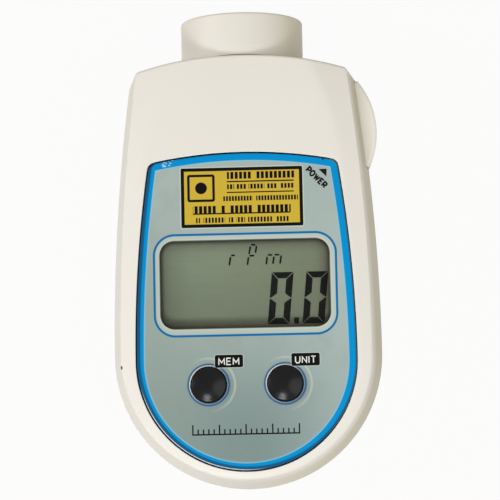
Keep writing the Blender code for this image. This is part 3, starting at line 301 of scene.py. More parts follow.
def turned(name, profile, steps, axis="Z", centre=(0.0, 0.0, 0.0), closed=False):
    # The profile (r, h) carried round an axis: r cos a and r sin a across it, h along it
    angle = np.linspace(0.0, 2 * math.pi, steps, endpoint=False)
    radius, height = np.asarray(profile, float).T
    across = radius[:, None] * np.cos(angle)
    over = radius[:, None] * np.sin(angle)
    along = np.broadcast_to(height[:, None], across.shape)
    order = {"X": (along, over, across), "Y": (across, along, over), "Z": (across, over, along)}[axis]
    return shapeFromGrid(name, np.stack(order, axis=-1) + np.array(centre), closed)


def rod(name, centre, low, high, radius, axis="Z", steps=48):
    profile = [(0.0, low), (radius, low), (radius, high), (0.0, high)]
    return turned(name, profile, steps, axis, centre)


def columns(places, low, high, radius, steps=48):
    return [rod("column", (*place, 0), low, high, radius, steps=steps) for place in places]


def prism(name, outline, low, high):
    # An outline carried straight up from one height to the other
    return shapeFromGrid(name, np.stack([atHeight(outline, low), atHeight(outline, high)]))


def block(name, low, high):
    outline = np.array([(low[0], low[1]), (high[0], low[1]), (high[0], high[1]), (low[0], high[1])])
    return prism(name, outline, low[2], high[2])


def mirroredBlocks(parts, y, half):
    # Blocks from x = inner to outer and their mirror images; parts lists inner, outer, low z and high z
    return [block("rib", (min(sign * inner, sign * outer), y - half, low),
                  (max(sign * inner, sign * outer), y + half, high))
            for sign in (-1, 1) for inner, outer, low, high in parts]


def merged(name, pieces):
    # Several shapes in one mesh, for one Boolean step
    bm = bmesh.new()
    for piece in pieces:
        bm.from_mesh(piece.data)
        bpy.data.objects.remove(piece)
    mesh = bpy.data.meshes.new(name)
    bm.to_mesh(mesh)
    bm.free()
    obj = bpy.data.objects.new(name, mesh)
    bpy.context.scene.collection.objects.link(obj)
    return obj


def carve(target, operation, tools, overlapping=False):
    # One Boolean step; overlapping is for tools that cut through each other
    tool = merged(target.name + "Tools", tools)
    step = target.modifiers.new("carve", "BOOLEAN")
    step.operation = operation
    step.solver = "EXACT"
    step.use_self = overlapping
    step.object = tool
    bake(target)
    bpy.data.objects.remove(tool)


def bake(obj):
    # The object's modifiers become part of its mesh
    graph = bpy.context.evaluated_depsgraph_get()
    mesh = bpy.data.meshes.new_from_object(obj.evaluated_get(graph))
    old = obj.data
    obj.modifiers.clear()
    obj.data = mesh
    bpy.data.meshes.remove(old)


def finishPiece(obj, material, body, replaces=()):
    obj.data.materials.clear()
    obj.data.materials.append(material)
    obj.data.shade_smooth()
    obj.data.set_sharp_from_angle(angle=meshLook["sharpAngle"])
    weigh = obj.modifiers.new("flatFacesStayFlat", "WEIGHTED_NORMAL")
    weigh.keep_sharp = True
    bake(obj)
    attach(obj, body)
    if replaces:
        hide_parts(*replaces)
    print("made", obj.name, len(obj.data.polygons), "faces")


# Outlines of the case and the panel: half circle, long side arcs, small corners and a shallow top arc

caseForm = {
    "halfWidth": 0.0373,
    "roundY": -0.0280,
    "sideRadius": 0.550,
    "topY": 0.0542,
    "topRadius": 0.107,
    "cornerRadius": 0.0040,
    "partingZ": 0.0180,
    "plateauZ": 0.0365,
    "sideDraft": math.tan(math.radians(10.5)),
    "topDraft": math.tan(math.radians(3.0)),
    "wall": 0.0022,
    "ceiling": 0.0024,
    "floor": 0.0024,
    "edgeRound": 0.0008,
    "rimRound": 0.0002,        # soft edge at the parting line
    "gap": 0.0003,
    "tongue": (0.00075, 0.0011),   # width and height
    "bite": 0.0004,                # how far a rib or boss runs into the wall it stands on
}

panelForm = {
    "halfWidth": 0.0297,
    "roundY": -0.0299,
    "sideRadius": 0.350,
    "topY": 0.0263,
    "topRadius": 0.126,
    "cornerRadius": 0.0020,
    "topZ": 0.0362,
    "thickness": 0.0006,
    "gap": 0.00015,
    "pocketFloor": 0.0353,
    "pocketEdge": 0.0002,
    "bevel": (0.00035, 0.00022),   # width and depth of the rounded edge
    "cut": (0.0340, 0.0380),       # heights between which its openings are cut
    "holeBevel": 0.0003,
}

outlineSteps = {"round": 96, "side": 56, "corner": 14, "top": 60}
flankRows = {"steps": 62, "power": 0.75}       # below 1 the rows lie closer toward the pocket


def arcPoints(centre, radius, start, end, steps):
    angle = start + (end - start) * np.arange(steps) / steps
    return np.column_stack([centre[0] + radius * np.cos(angle), centre[1] + radius * np.sin(angle)])


def shield(halfWidth, roundY, sideRadius, topY, topRadius, cornerRadius):
    # Arcs of centre + radius (cos a, sin a), each starting where the last one ends, and their mirror image.
    # The corner's centre is where the two big circles, both shrunk by the corner's radius, cross
    sideCentre = np.array([halfWidth - sideRadius, roundY])
    topCentre = np.array([0.0, topY - topRadius])
    apart = np.linalg.norm(topCentre - sideCentre)
    along = ((sideRadius - cornerRadius) ** 2 - (topRadius - cornerRadius) ** 2 + apart ** 2) / (2 * apart)
    unit = (topCentre - sideCentre) / apart
    across = math.sqrt((sideRadius - cornerRadius) ** 2 - along ** 2)
    sides = [sideCentre + along * unit + sign * across * np.array([-unit[1], unit[0]]) for sign in (1, -1)]
    corner = max(sides, key=lambda point: point[1])
    sideEnd = math.atan2(*(corner - sideCentre)[::-1])
    topStart = math.atan2(*(corner - topCentre)[::-1])
    right = np.vstack([
        arcPoints((0.0, roundY), halfWidth, -math.pi / 2, 0.0, outlineSteps["round"]),
        arcPoints(sideCentre, sideRadius, 0.0, sideEnd, outlineSteps["side"]),
        arcPoints(corner, cornerRadius, sideEnd, topStart, outlineSteps["corner"]),
        arcPoints(topCentre, topRadius, topStart, math.pi / 2, outlineSteps["top"]),
        [(0.0, topY)]])
    return np.vstack([right, right[-2:0:-1] * (-1, 1)])


def caseOutline(sideInset, topInset):
    # Moved inward by one distance at the sides and the round end, and by another at the top
    return shield(
        caseForm["halfWidth"] - sideInset, caseForm["roundY"], caseForm["sideRadius"] - sideInset,
        caseForm["topY"] - topInset, caseForm["topRadius"] - topInset,
        max(caseForm["cornerRadius"] - sideInset, caseForm["cornerRadius"] / 4))


def caseLevel(z, inset=0.0):
    # The walls lean in with the height above or below the parting line
    away = abs(z - caseForm["partingZ"])
    return caseOutline(inset + away * caseForm["sideDraft"], inset + away * caseForm["topDraft"])


def levelRow(z, inset=0.0):
    return atHeight(caseLevel(z, inset), z)


def panelOutline(grow=0.0):
    return shield(
        panelForm["halfWidth"] + grow, panelForm["roundY"], panelForm["sideRadius"] + grow,
        panelForm["topY"] + grow, panelForm["topRadius"] + grow, panelForm["cornerRadius"] + grow)


# Front face: a plateau with a soft crease, from which the flanks fall away

creaseForm = {
    "radius": 0.0301,
    "roundY": -0.0299,
    "sideRadius": 0.3504,
    "shoulderY": 0.0140,
    "shoulderRadius": 0.0820,
    "slope": math.tan(math.radians(15.0)),
    "softness": 0.0009,        # how wide the crease is rounded
    "blend": 0.0030,
}


def creaseReach(points):
    # Signed distance outside the plateau: distance to a circle's centre less its radius, with one circle for
    # the round end, one for the side and one for the shoulder, the last blended in around shoulderY
    x, y = np.abs(points[..., 0]), points[..., 1]
    sideX = creaseForm["radius"] - creaseForm["sideRadius"]
    rise = creaseForm["shoulderY"] - creaseForm["roundY"]
    shoulderX = sideX + math.sqrt(creaseForm["sideRadius"] ** 2 - rise ** 2) - creaseForm["shoulderRadius"]
    roundEnd = np.hypot(x, y - creaseForm["roundY"]) - creaseForm["radius"]
    side = np.hypot(x - sideX, y - creaseForm["roundY"]) - creaseForm["sideRadius"]
    shoulder = np.hypot(x - shoulderX, y - creaseForm["shoulderY"]) - creaseForm["shoulderRadius"]
    lower = np.where(y < creaseForm["roundY"], roundEnd, side)
    share = np.clip((y - creaseForm["shoulderY"]) / (2 * creaseForm["blend"]) + 0.5, 0.0, 1.0)
    share = share * share * (3 - 2 * share)
    return lower + (shoulder - lower) * share


def faceHeight(points):
    # plateauZ - slope * (d + sqrt(d^2 + softness^2)) / 2, where d is the reach outside the crease
    reach = creaseReach(points)
    fall = (reach + np.sqrt(reach ** 2 + creaseForm["softness"] ** 2)) / 2
    return caseForm["plateauZ"] - creaseForm["slope"] * fall


def between(low, high, steps, power=1.0):
    # Rows of a grid from one loop of points to the next
    share = np.linspace(0.0, 1.0, steps + 1) ** power
    return low[None] + (high - low)[None] * share[:, None, None]


def stacked(*parts):
    # One grid from single rows and groups of rows
    return np.concatenate([part if part.ndim == 3 else part[None] for part in parts])


def rimRows(z, way):
    # The soft outer edge at the parting line; way is +1 going up the wall and -1 going down
    edge = caseForm["rimRound"]
    return bend(levelRow(z, edge), levelRow(z), levelRow(z + way * edge), 4)


def frontGrid():
    # Rows of points from the ceiling inside, over the rim, up the drafted wall, round the edge, across the
    # flank and plateau by faceHeight(x, y), and down the pocket's wall to its floor
    parting, plateau = caseForm["partingZ"], caseForm["plateauZ"]
    low, high = caseLevel(parting), caseLevel(plateau)
    z = np.full(len(low), plateau)
    # The edge is where the drafted wall meets faceHeight; each round brings it closer
    for _ in range(8):
        edgeXY = low + (high - low) * ((z - parting) / (plateau - parting))[:, None]
        z = faceHeight(edgeXY)
    gap, lip = panelForm["gap"], panelForm["pocketEdge"]
    pocketXY = panelOutline(gap + lip)
    reach = caseForm["edgeRound"]
    edge = atHeight(edgeXY, z)
    flankXY = edgeXY + reach * unitRows(pocketXY - edgeXY)
    flank = atHeight(flankXY, faceHeight(flankXY))
    wallEnd = edge + reach * unitRows(atHeight(low, parting) - edge)
    face = between(flankXY, pocketXY, flankRows["steps"], flankRows["power"])
    face = np.concatenate([face, faceHeight(face)[..., None]], axis=-1)
    pocketSide, pocketZ = panelOutline(gap), face[-1][:, 2]
    rim = parting + caseForm["gap"] / 2
    wall = caseForm["wall"]
    tongueWidth, tongueHeight = caseForm["tongue"]
    groove = wall - tongueWidth - caseForm["gap"]
    grooveZ = rim + tongueHeight + caseForm["gap"]
    innerZ = z - caseForm["ceiling"]
    innerLow, innerHigh = caseLevel(parting, wall), caseLevel(plateau, wall)
    innerXY = innerLow + (innerHigh - innerLow) * ((innerZ - parting) / (plateau - parting))[:, None]
    rimRow = rimRows(rim, 1)
    return stacked(
        atHeight(panelOutline(creaseForm["softness"]), plateau - caseForm["ceiling"]),
        atHeight(innerXY, innerZ),
        levelRow(grooveZ, wall),
        levelRow(grooveZ, groove),
        levelRow(rim, groove),
        rimRow,
        between(rimRow[-1], wallEnd, 6)[1:],
        bend(wallEnd, edge, flank, 8)[1:],
        face[1:],
        bend(face[-1], atHeight(pocketSide, pocketZ), atHeight(pocketSide, pocketZ - lip), 4)[1:],
        atHeight(pocketSide, panelForm["pocketFloor"]))


display = {
    "centreY": -0.00935,
    "half": (0.0229, 0.01185),
    "corner": 0.0040,
    "paneMargin": 0.0005,
    "cut": (0.0300, 0.0370),       # heights between which the case is cut, here and for the buttons
}
buttons = {
    "place": (0.0103, -0.0364),
    "radius": 0.00465,
    "dome": 0.0011,
    "side": 0.0009,
    "edge": 0.00045,
    "hole": 0.00495,
    "flange": (0.0325, 0.0338, 0.00095),   # low and high side, reach past the cap
    "stem": (0.0020, 0.02735),             # radius and lower end
}
powerKey = {
    "y": 0.0355,
    "halfChord": 0.0122,
    "proud": 0.00345,
    "halfHeight": 0.0045,
    "rim": 0.0011,
    "flange": 0.0015,
    "lap": 0.0011,
    "slotDepth": 0.0070,
    "peg": (0.0014, 0.0016, 0.0080, 0.0008),   # radius, length, how far along and how far down the wall
}
fasteners = {
    "case": [(0.0210, 0.0435), (0.0250, -0.0330)],
    "board": [(0.0203, 0.01175), (0.0152, -0.0516)],
    "caseHead": 0.0027,
    "headZ": 0.0060,
    "caseShank": 0.00135,
    "boardShank": 0.00105,
    "frontBoss": 0.0032,
    "backBoss": 0.0039,
    "boardBoss": 0.0026,
    "boardTop": 0.0224,
    "casePilot": (0.0150, 0.0291),
    "boardPilot": (0.0200, 0.0286),
    "cone": (0.0027, -0.0024, 0.0003),     # of the bore's mouth: reach, low and high end
    "boreEnd": 0.0202,
}
neck = {"hole": 0.0138, "inner": 0.0465, "outer": 0.070, "axisZ": 0.0180}


def bothSides(pair):
    return [(sign * pair[0], pair[1]) for sign in (-1, 1)]


def screwPlaces(kind):
    return [place for pair in fasteners[kind] for place in bothSides(pair)]


def displayOutline(margin):
    half = np.array(display["half"]) + margin
    corners = np.array([(-1, -1), (1, -1), (1, 1), (-1, 1)]) * half + (0.0, display["centreY"])
    return curvedCorners(corners, display["corner"] + margin, 12)


def powerMatrix():
    # Moves a shape from the key's own axes, X square to the side wall, to its place on the wall
    lean = math.asin((powerKey["y"] - caseForm["roundY"]) / caseForm["sideRadius"])
    x = caseForm["halfWidth"] - caseForm["sideRadius"] * (1 - math.cos(lean))
    return Matrix.Translation((x, powerKey["y"], caseForm["partingZ"])) @ Matrix.Rotation(lean, 4, "Z")


def powerSlot():
    # The key's opening in the side wall, a box with a gap round the key, square to the wall
    gap = caseForm["gap"]
    y, z = powerKey["halfChord"] + gap, powerKey["halfHeight"] + gap
    depth = powerKey["slotDepth"]
    slot = block("powerSlot", (-depth, -y, -z), (depth, y, z))
    slot.data.transform(powerMatrix())
    return slot


def neckHole():
    return rod("neckHole", (0, 0, neck["axisZ"]), neck["inner"], neck["outer"], neck["hole"], "Y", 128)


def makeFrontShell(material):
    # The skin of frontGrid with its screw bosses, less the openings, the screws' pilots and the key's slot
    shell = shapeFromGrid("frontShell", frontGrid())
    ceiling = caseForm["plateauZ"] - caseForm["ceiling"] + caseForm["bite"]
    casePlaces, boardPlaces = screwPlaces("case"), screwPlaces("board")
    bosses = columns(casePlaces, caseForm["partingZ"] + caseForm["gap"], ceiling, fasteners["frontBoss"])
    bosses += columns(boardPlaces, fasteners["boardTop"], ceiling, fasteners["boardBoss"])
    carve(shell, "UNION", bosses)
    low, high = display["cut"]
    cutters = [prism("opening", displayOutline(display["paneMargin"] + caseForm["gap"]), low, high)]
    cutters += columns(bothSides(buttons["place"]), low, high, buttons["hole"], 72)
    cutters += columns(casePlaces, *fasteners["casePilot"], fasteners["caseShank"], 24)
    cutters += columns(boardPlaces, *fasteners["boardPilot"], fasteners["boardShank"], 20)
    carve(shell, "DIFFERENCE", cutters + [powerSlot(), neckHole()])
    finishPiece(shell, material, "housing", ["front_shell"])


# Back shell and battery door share one skin

backForm = {
    "round": 0.0045,
    "roundTop": 0.0020,
    "roundHeight": 0.0050,
    "innerRound": 0.0010,
    "doorHalf": 0.0194,
    "doorTop": 0.0150,
    "doorEnd": 0.0090,
    "doorCorner": 0.0008,
    "bayHalf": 0.0152,
    "bayWall": 0.0015,
    "bay": (-0.0465, 0.0110),
    "bayRoof": 0.0176,
    "feet": (-0.024, -0.004),
    "foot": (0.0020, 0.0060, 0.0040),      # half width, height, reach past the door
    "hooks": (-0.030, -0.010, 0.010),
    "hook": (0.0030, 0.0012, 0.0014, 0.0009),     # half width, reach inward and outward, height
    "below": -0.08,                        # well below the part and beyond its lower end, for cutters
    "grooves": 5,
    "grooveStart": -0.0500,
    "groovePitch": 0.0020,
    "grooveHalf": 0.0064,
    "grooveRadius": 0.0006,
    "arrow": (-0.0340, 0.0042, 0.0036, 0.0003),   # y of its tip, width, length and depth
    "arrowRound": 0.0003,
}


def backOutline(share, inset=0.0):
    # The outline in the round of the back edge; share runs from 0 on the wall to 1 on the flat back
    drop = caseForm["partingZ"] - backForm["roundHeight"]
    return caseOutline(inset + drop * caseForm["sideDraft"] + share * backForm["round"],
                       inset + drop * caseForm["topDraft"] + share * backForm["roundTop"])


def backGrid():
    # Rows from the inside floor over the tongue and rim, down the wall and round the back edge, where the
    # outline comes in by 1 - cos a while the height falls by sin a
    wall, floor = caseForm["wall"], caseForm["floor"]
    rim = caseForm["partingZ"] - caseForm["gap"] / 2
    tongueWidth, tongueHeight = caseForm["tongue"]
    tongueZ = rim + tongueHeight
    innerZ = backForm["roundHeight"] + floor / 2
    rimRow = rimRows(rim, -1)
    turn = np.stack([atHeight(backOutline(1 - math.cos(a)), backForm["roundHeight"] * (1 - math.sin(a)))
                     for a in np.linspace(0.0, math.pi / 2, 15)])
    return stacked(
        atHeight(backOutline(1.0, wall), floor),
        atHeight(backOutline(0.6, wall), floor + backForm["innerRound"]),
        levelRow(innerZ, wall),
        atHeight(caseLevel(rim, wall), tongueZ),
        atHeight(caseLevel(rim, wall - tongueWidth), tongueZ),
        levelRow(rim, wall - tongueWidth),
        rimRow,
        between(rimRow[-1], turn[0], 6)[1:],
        turn[1:])


def doorBlock(grow):
    # The door's place in the back: a straight prism with two round corners, open past the lower end
    half, top, low = backForm["doorHalf"] + grow, backForm["doorTop"] + grow, backForm["below"]
    corner = backForm["doorCorner"] + grow
    outline = curvedCorners([(-half, low), (half, low), (half, top), (-half, top)], [0, 0, corner, corner])
    return prism("doorBlock", outline, -0.01, backForm["doorEnd"] + grow)


def bayFeet():
    # Ribs from the battery bay to the floor beside the door, each with a foot in the floor
    gap, floor, bite = caseForm["gap"], caseForm["floor"], caseForm["bite"]
    footHalf, footHeight, footReach = backForm["foot"]
    low, high = floor + gap, floor + gap + footHeight
    near, far = backForm["bayHalf"] + backForm["bayWall"] / 2, backForm["doorHalf"] + footReach
    edge = backForm["doorHalf"] + 2 * gap
    parts = [(near, far, low, high), (edge, far, floor - bite, high - bite)]
    feet = [foot for y in backForm["feet"] for foot in mirroredBlocks(parts, y, footHalf)]
    top = backForm["doorTop"] + footReach
    endFeet = [(backForm["bay"][1], low, high), (backForm["doorTop"] + 2 * gap, floor - bite, high - bite)]
    return feet + [block("rib", (-footReach, y, under), (footReach, top, over)) for y, under, over in endFeet]


def makeRearShell(material):
    # The skin of backGrid with its bosses, less the door, with the battery bay's walls and feet inside
    shell = shapeFromGrid("rearShell", backGrid())
    gap, floor, parting = caseForm["gap"], caseForm["floor"], caseForm["partingZ"]
    places = screwPlaces("case")
    carve(shell, "UNION", columns(places, floor - caseForm["bite"], parting - gap, fasteners["backBoss"]))
    carve(shell, "DIFFERENCE", [doorBlock(gap)])
    half, wall, roof = backForm["bayHalf"], backForm["bayWall"], backForm["bayRoof"]
    low, high = backForm["bay"]
    walls = block("bayWalls", (-half - wall, low - wall, floor + gap),
                  (half + wall, high + wall, roof + wall))
    carve(shell, "UNION", [walls] + bayFeet(), True)
    cutters = [block("bayHollow", (-half, low, backForm["below"]), (half, high, roof))]
    head, headZ, shank = fasteners["caseHead"], fasteners["headZ"], fasteners["caseShank"]
    reach, coneLow, coneHigh = fasteners["cone"]
    end = fasteners["boreEnd"]
    bore = [(0.0, coneLow), (head + reach, coneLow), (head, coneHigh), (head, headZ), (shank, headZ),
            (shank, end), (0.0, end)]
    cutters += [turned("screwBore", bore, 40, "Z", (*place, 0)) for place in places]
    carve(shell, "DIFFERENCE", cutters)
    carve(shell, "DIFFERENCE", [powerSlot(), neckHole()])
    finishPiece(shell, material, "housing", ["rear_shell"])


def capsule(name, centre, half, radius):
    # A rod along X with round ends
    angle = np.linspace(0.0, math.pi / 2, 7)
    end = np.column_stack([radius * np.sin(angle), half + radius * np.cos(angle)])
    profile = np.vstack([end, end[::-1] * (1, -1)])
    return turned(name, profile, 24, "X", centre)


def makeBatteryDoor(material):
    # What doorBlock cuts out of the same skin, with hooks on its edges, grip grooves and an arrow
    door = shapeFromGrid("batteryDoor", backGrid())
    carve(door, "INTERSECT", [doorBlock(0.0)])
    floor, half = caseForm["floor"], backForm["doorHalf"]
    hookHalf, inward, outward, hookHeight = backForm["hook"]
    under = floor + caseForm["gap"]
    top = under + hookHeight
    inner, outer = half - inward, half + outward
    parts = [(inner, half, floor - caseForm["bite"], top), (inner, outer, under, top)]
    hooks = [hook for y in backForm["hooks"] for hook in mirroredBlocks(parts, y, hookHalf)]
    carve(door, "UNION", hooks, True)
    cutters = [
        capsule("groove", (0.0, backForm["grooveStart"] + number * backForm["groovePitch"], 0.0),
                backForm["grooveHalf"], backForm["grooveRadius"])
        for number in range(backForm["grooves"])]
    tip, width, length, depth = backForm["arrow"]
    arrow = np.array([(0.0, tip), (width / 2, tip + length), (-width / 2, tip + length)])
    cutters.append(prism("arrow", curvedCorners(arrow, backForm["arrowRound"], 4), -depth, depth))
    carve(door, "DIFFERENCE", cutters)
    finishPiece(door, material, "battery_door", ["battery_door"])


# Lens barrel

barrel = {
    "radius": 0.0171,
    "tipY": 0.0653,
    "rim": 0.00075,                # rounding of the outer edge
    "lip": 0.0003,                 # and of the bore's mouth
    "shoulderRound": 0.0001,
    "bore": 0.0151,
    "shoulderBore": 0.0142,
    "shoulderY": 0.0620,
    "back": 0.0520,
    "neckRadius": 0.0135,
    "neckBore": 0.0115,
    "neckEnd": 0.0465,
    "web": (0.0550, 0.0570),
    "flange": (0.0144, 0.0479, 0.0499),    # radius, back and front
}


def makeBarrel(material):
    # A tube turned about Y with a shoulder for its pane, cut to the case's curved top: a double cone of the
    # top arc's radius, narrower by the draft above and below the parting line. A neck with a flange joins it
    r, tip = barrel["radius"], barrel["tipY"]
    corners = [(barrel["bore"], tip), (r, tip), (r, barrel["back"]), (barrel["shoulderBore"], barrel["back"]),
               (barrel["shoulderBore"], barrel["shoulderY"]), (barrel["bore"], barrel["shoulderY"])]
    rounding = [barrel["lip"], barrel["rim"], 0, 0, barrel["shoulderRound"], 0]
    profile = curvedCorners(corners, rounding, 8)
    piece = turned("lensBarrel", profile, 160, "Y", (0, 0, neck["axisZ"]), True)
    centreY = caseForm["topY"] - caseForm["topRadius"]
    wide = caseForm["topRadius"] + caseForm["gap"]
    narrow = wide - caseForm["topDraft"] * caseForm["partingZ"]
    clearance = [(0.0, 0.0), (narrow, 0.0), (wide, caseForm["partingZ"]), (narrow, 2 * caseForm["partingZ"]),
                 (0.0, 2 * caseForm["partingZ"])]
    carve(piece, "DIFFERENCE", [turned("clearance", clearance, 512, "Z", (0, centreY, 0))])
    low, high = barrel["web"]
    reach, flangeBack, flangeFront = barrel["flange"]
    inner, outer = barrel["neckBore"], barrel["neckRadius"]
    web = (barrel["bore"] + r) / 2
    neckProfile = [(inner, high), (web, high), (web, low), (outer, low), (outer, flangeFront),
                   (reach, flangeFront), (reach, flangeBack), (outer, flangeBack), (outer, barrel["neckEnd"]),
                   (inner, barrel["neckEnd"])]
    carve(piece, "UNION", [turned("neck", neckProfile, 96, "Y", (0, 0, neck["axisZ"]), True)])
    finishPiece(piece, material, "housing", ["nose_barrel"])


# Power key: a round-faced key in the right side wall

def makePowerKey(material):
    half, proud, tall, rim = (powerKey[word] for word in ("halfChord", "proud", "halfHeight", "rim"))
    lap, thick = tall + powerKey["lap"], powerKey["flange"]
    back = -caseForm["wall"] - lap * caseForm["sideDraft"] - 1.5 * caseForm["gap"] - thick
    root = back + thick / 2
    radius = (half ** 2 + proud ** 2) / (2 * proud)
    # The face is an arc of radius R - inset. Going up, the rim's inset is rim (1 - cos a) at height rim sin a
    angle = np.linspace(0.0, math.pi / 2, 9)
    inset = rim * (1 - np.cos(angle))
    inset = np.concatenate([inset[::-1], inset])
    z = np.concatenate([-(tall - rim) - rim * np.sin(angle)[::-1], (tall - rim) + rim * np.sin(angle)])
    chord, arcRadius = half - inset[:, None], radius - inset[:, None]
    spread = np.arcsin(chord / arcRadius) * np.linspace(-1.0, 1.0, 73)
    rootX = np.full_like(chord, root)
    x = np.concatenate([rootX, proud - radius + arcRadius * np.cos(spread), rootX], axis=1)
    y = np.concatenate([-chord, arcRadius * np.sin(spread), chord], axis=1)
    key = shapeFromGrid("powerKey", np.stack([x, y, np.broadcast_to(z[:, None], x.shape)], axis=-1))
    flange = block("flange", (back, -half, -lap), (back + thick, half, lap))
    pegRadius, pegLength, pegAlong, pegDown = powerKey["peg"]
    profile = [(0.0, back - pegLength), (pegRadius, back - pegLength), (pegRadius, root), (0.0, root)]
    peg = turned("peg", profile, 32, "X", (0.0, -pegAlong, -pegDown))
    carve(key, "UNION", [flange, peg], True)
    key.data.transform(powerMatrix())
    finishPiece(key, material, "power_button", ["power_button"])


# Front buttons

def makeButton(name, place, material, body, node):
    # A profile turned about Z: a cap of a ball, a soft edge, the straight side, the flange and the stem
    radius, rise, edge = buttons["radius"], buttons["dome"], buttons["edge"]
    top = panelForm["topZ"] + buttons["side"] + rise
    ball = (radius ** 2 + rise ** 2) / (2 * rise)
    angle = np.linspace(0.0, math.asin((radius - edge) / ball), 22)
    cap = np.column_stack([ball * np.sin(angle), top - ball * (1 - np.cos(angle))])
    capEnd = cap[-1, 1]
    lip = bend(cap[-1], np.array([radius, capEnd - 0.0001]), np.array([radius, capEnd - edge]), 8)[1:]
    flangeLow, flangeTop, reach = buttons["flange"]
    stemRadius, stemEnd = buttons["stem"]
    foot = [(radius, flangeTop), (radius + reach, flangeTop), (radius + reach, flangeLow),
            (stemRadius, flangeLow), (stemRadius, stemEnd), (0.0, stemEnd)]
    piece = turned(name, np.vstack([cap, lip, foot]), 96, "Z", (*place, 0))
    finishPiece(piece, material, body, [node])


# Front panel

def makePanel(material):
    # Offset outlines: straight side, then a quarter round of width and depth `bevel` up to the flat top
    width, depth = panelForm["bevel"]
    top, side = panelForm["topZ"], panelOutline(0.0)
    panel = shapeFromGrid("frontPanel", stacked(
        atHeight(side, top - panelForm["thickness"]),
        bend(atHeight(side, top - depth), atHeight(side, top), atHeight(panelOutline(-width), top), 6)))
    low, high = panelForm["cut"]
    hole, bevel = buttons["hole"], panelForm["holeBevel"]
    mouth = [(0.0, low), (hole, low), (hole, top - bevel / 2), (hole + bevel, top + bevel / 2),
             (0.0, top + bevel / 2)]
    holes = [turned("buttonHole", mouth, 96, "Z", (*place, 0)) for place in bothSides(buttons["place"])]
    carve(panel, "DIFFERENCE", [prism("window", displayOutline(0.0), low, high)] + holes)
    finishPiece(panel, material, "housing", ["front_panel"])


# Finishes

def boxReach(finish, shape, corner):
    # Signed distance to a rounded box, negative inside
    x, y = finish.axes[:2]
    centreX, centreY, halfX, halfY = shape
    across = abs(x - centreX) - (halfX - corner)
    over = abs(y - centreY) - (halfY - corner)
    outside = finish.span(finish.highest(across, 0.0), finish.highest(over, 0.0))
    return outside + finish.lowest(finish.highest(across, over), 0.0) - corner


def shieldReach(finish, x, y):
    # Signed distance to the panel's outline: the round end or the side arc, cut off by the top arc, with
    # the same small corner
    form = panelForm
    corner = form["cornerRadius"]
    rise = y - form["roundY"]
    roundEnd = finish.span(x, rise) - form["halfWidth"]
    side = finish.span(abs(x) - (form["halfWidth"] - form["sideRadius"]), rise) - form["sideRadius"]
    wall = roundEnd + (side - roundEnd) * finish.over(rise, 0.0, 0.0001) + corner
    top = finish.span(x, y - (form["topY"] - form["topRadius"])) - form["topRadius"] + corner
    outside = finish.span(finish.highest(wall, 0.0), finish.highest(top, 0.0))
    return outside + finish.lowest(finish.highest(wall, top), 0.0) - corner


plasticLook = {
    "case": ((231, 228, 222), (227, 222, 212), 0.65),   # two colours, and how strongly the right side wall is yellowed and darkened with painted shade
    # Lighter than the case's colours: painted light on the key, which sits in the case's shade
    "key": ((246, 243, 235), (241, 237, 227), 0.0),
    "yellowedWallShade": (178, 168, 134),                            # yellowed tone with painted shade, for the side wall by the power key
    "wallShadeBelow": 0.0310,
    "roughness": 0.45,
    "grain": 2600.0,
    "speck": (-0.0339, -0.0313, 0.0352, 0.00052),       # centre and radius
    "speckAndGapShade": (16, 15, 14),                               # colour of the speck, and painted shade in the gap round the panel
}


def creamPlastic(name, colour, warm, wallShadeShare):
    look = plasticLook
    finish = Finish(name, Specular_IOR_Level=0.32)
    x, y, z = finish.axes
    finish.ground((finish.noise(22.0, 3.0) - 0.35) * 1.4, colour, warm)
    # Painted shade, with some yellowing, on the lower right side of the case
    yellowedWallShade = finish.under(z, look["wallShadeBelow"], 0.007) * finish.over(x, 0.010, 0.050) * wallShadeShare
    finish.paint(yellowedWallShade, look["yellowedWallShade"])
    speckX, speckY, speckZ, speckRadius = look["speck"]
    away = finish.span(finish.span(x - speckX, y - speckY), z - speckZ)
    # Painted shade: the narrow gap round the panel is darkened
    gap = finish.under(abs(shieldReach(finish, x, y)), panelForm["gap"] + 0.00003, 0.00006)
    gap = gap * finish.over(z, caseForm["plateauZ"] - 0.0030, 0.0002)
    finish.paint(finish.highest(finish.under(away, speckRadius, 0.0001), gap), look["speckAndGapShade"])
    grain = finish.noise(look["grain"], 2.0, 0.6) + finish.noise(420.0, 1.0) * 0.6
    return finish.feed(Roughness=finish.uneven(look["roughness"], 0.12, 60.0),
                       Normal=finish.bump(grain, 0.10, 0.0002))


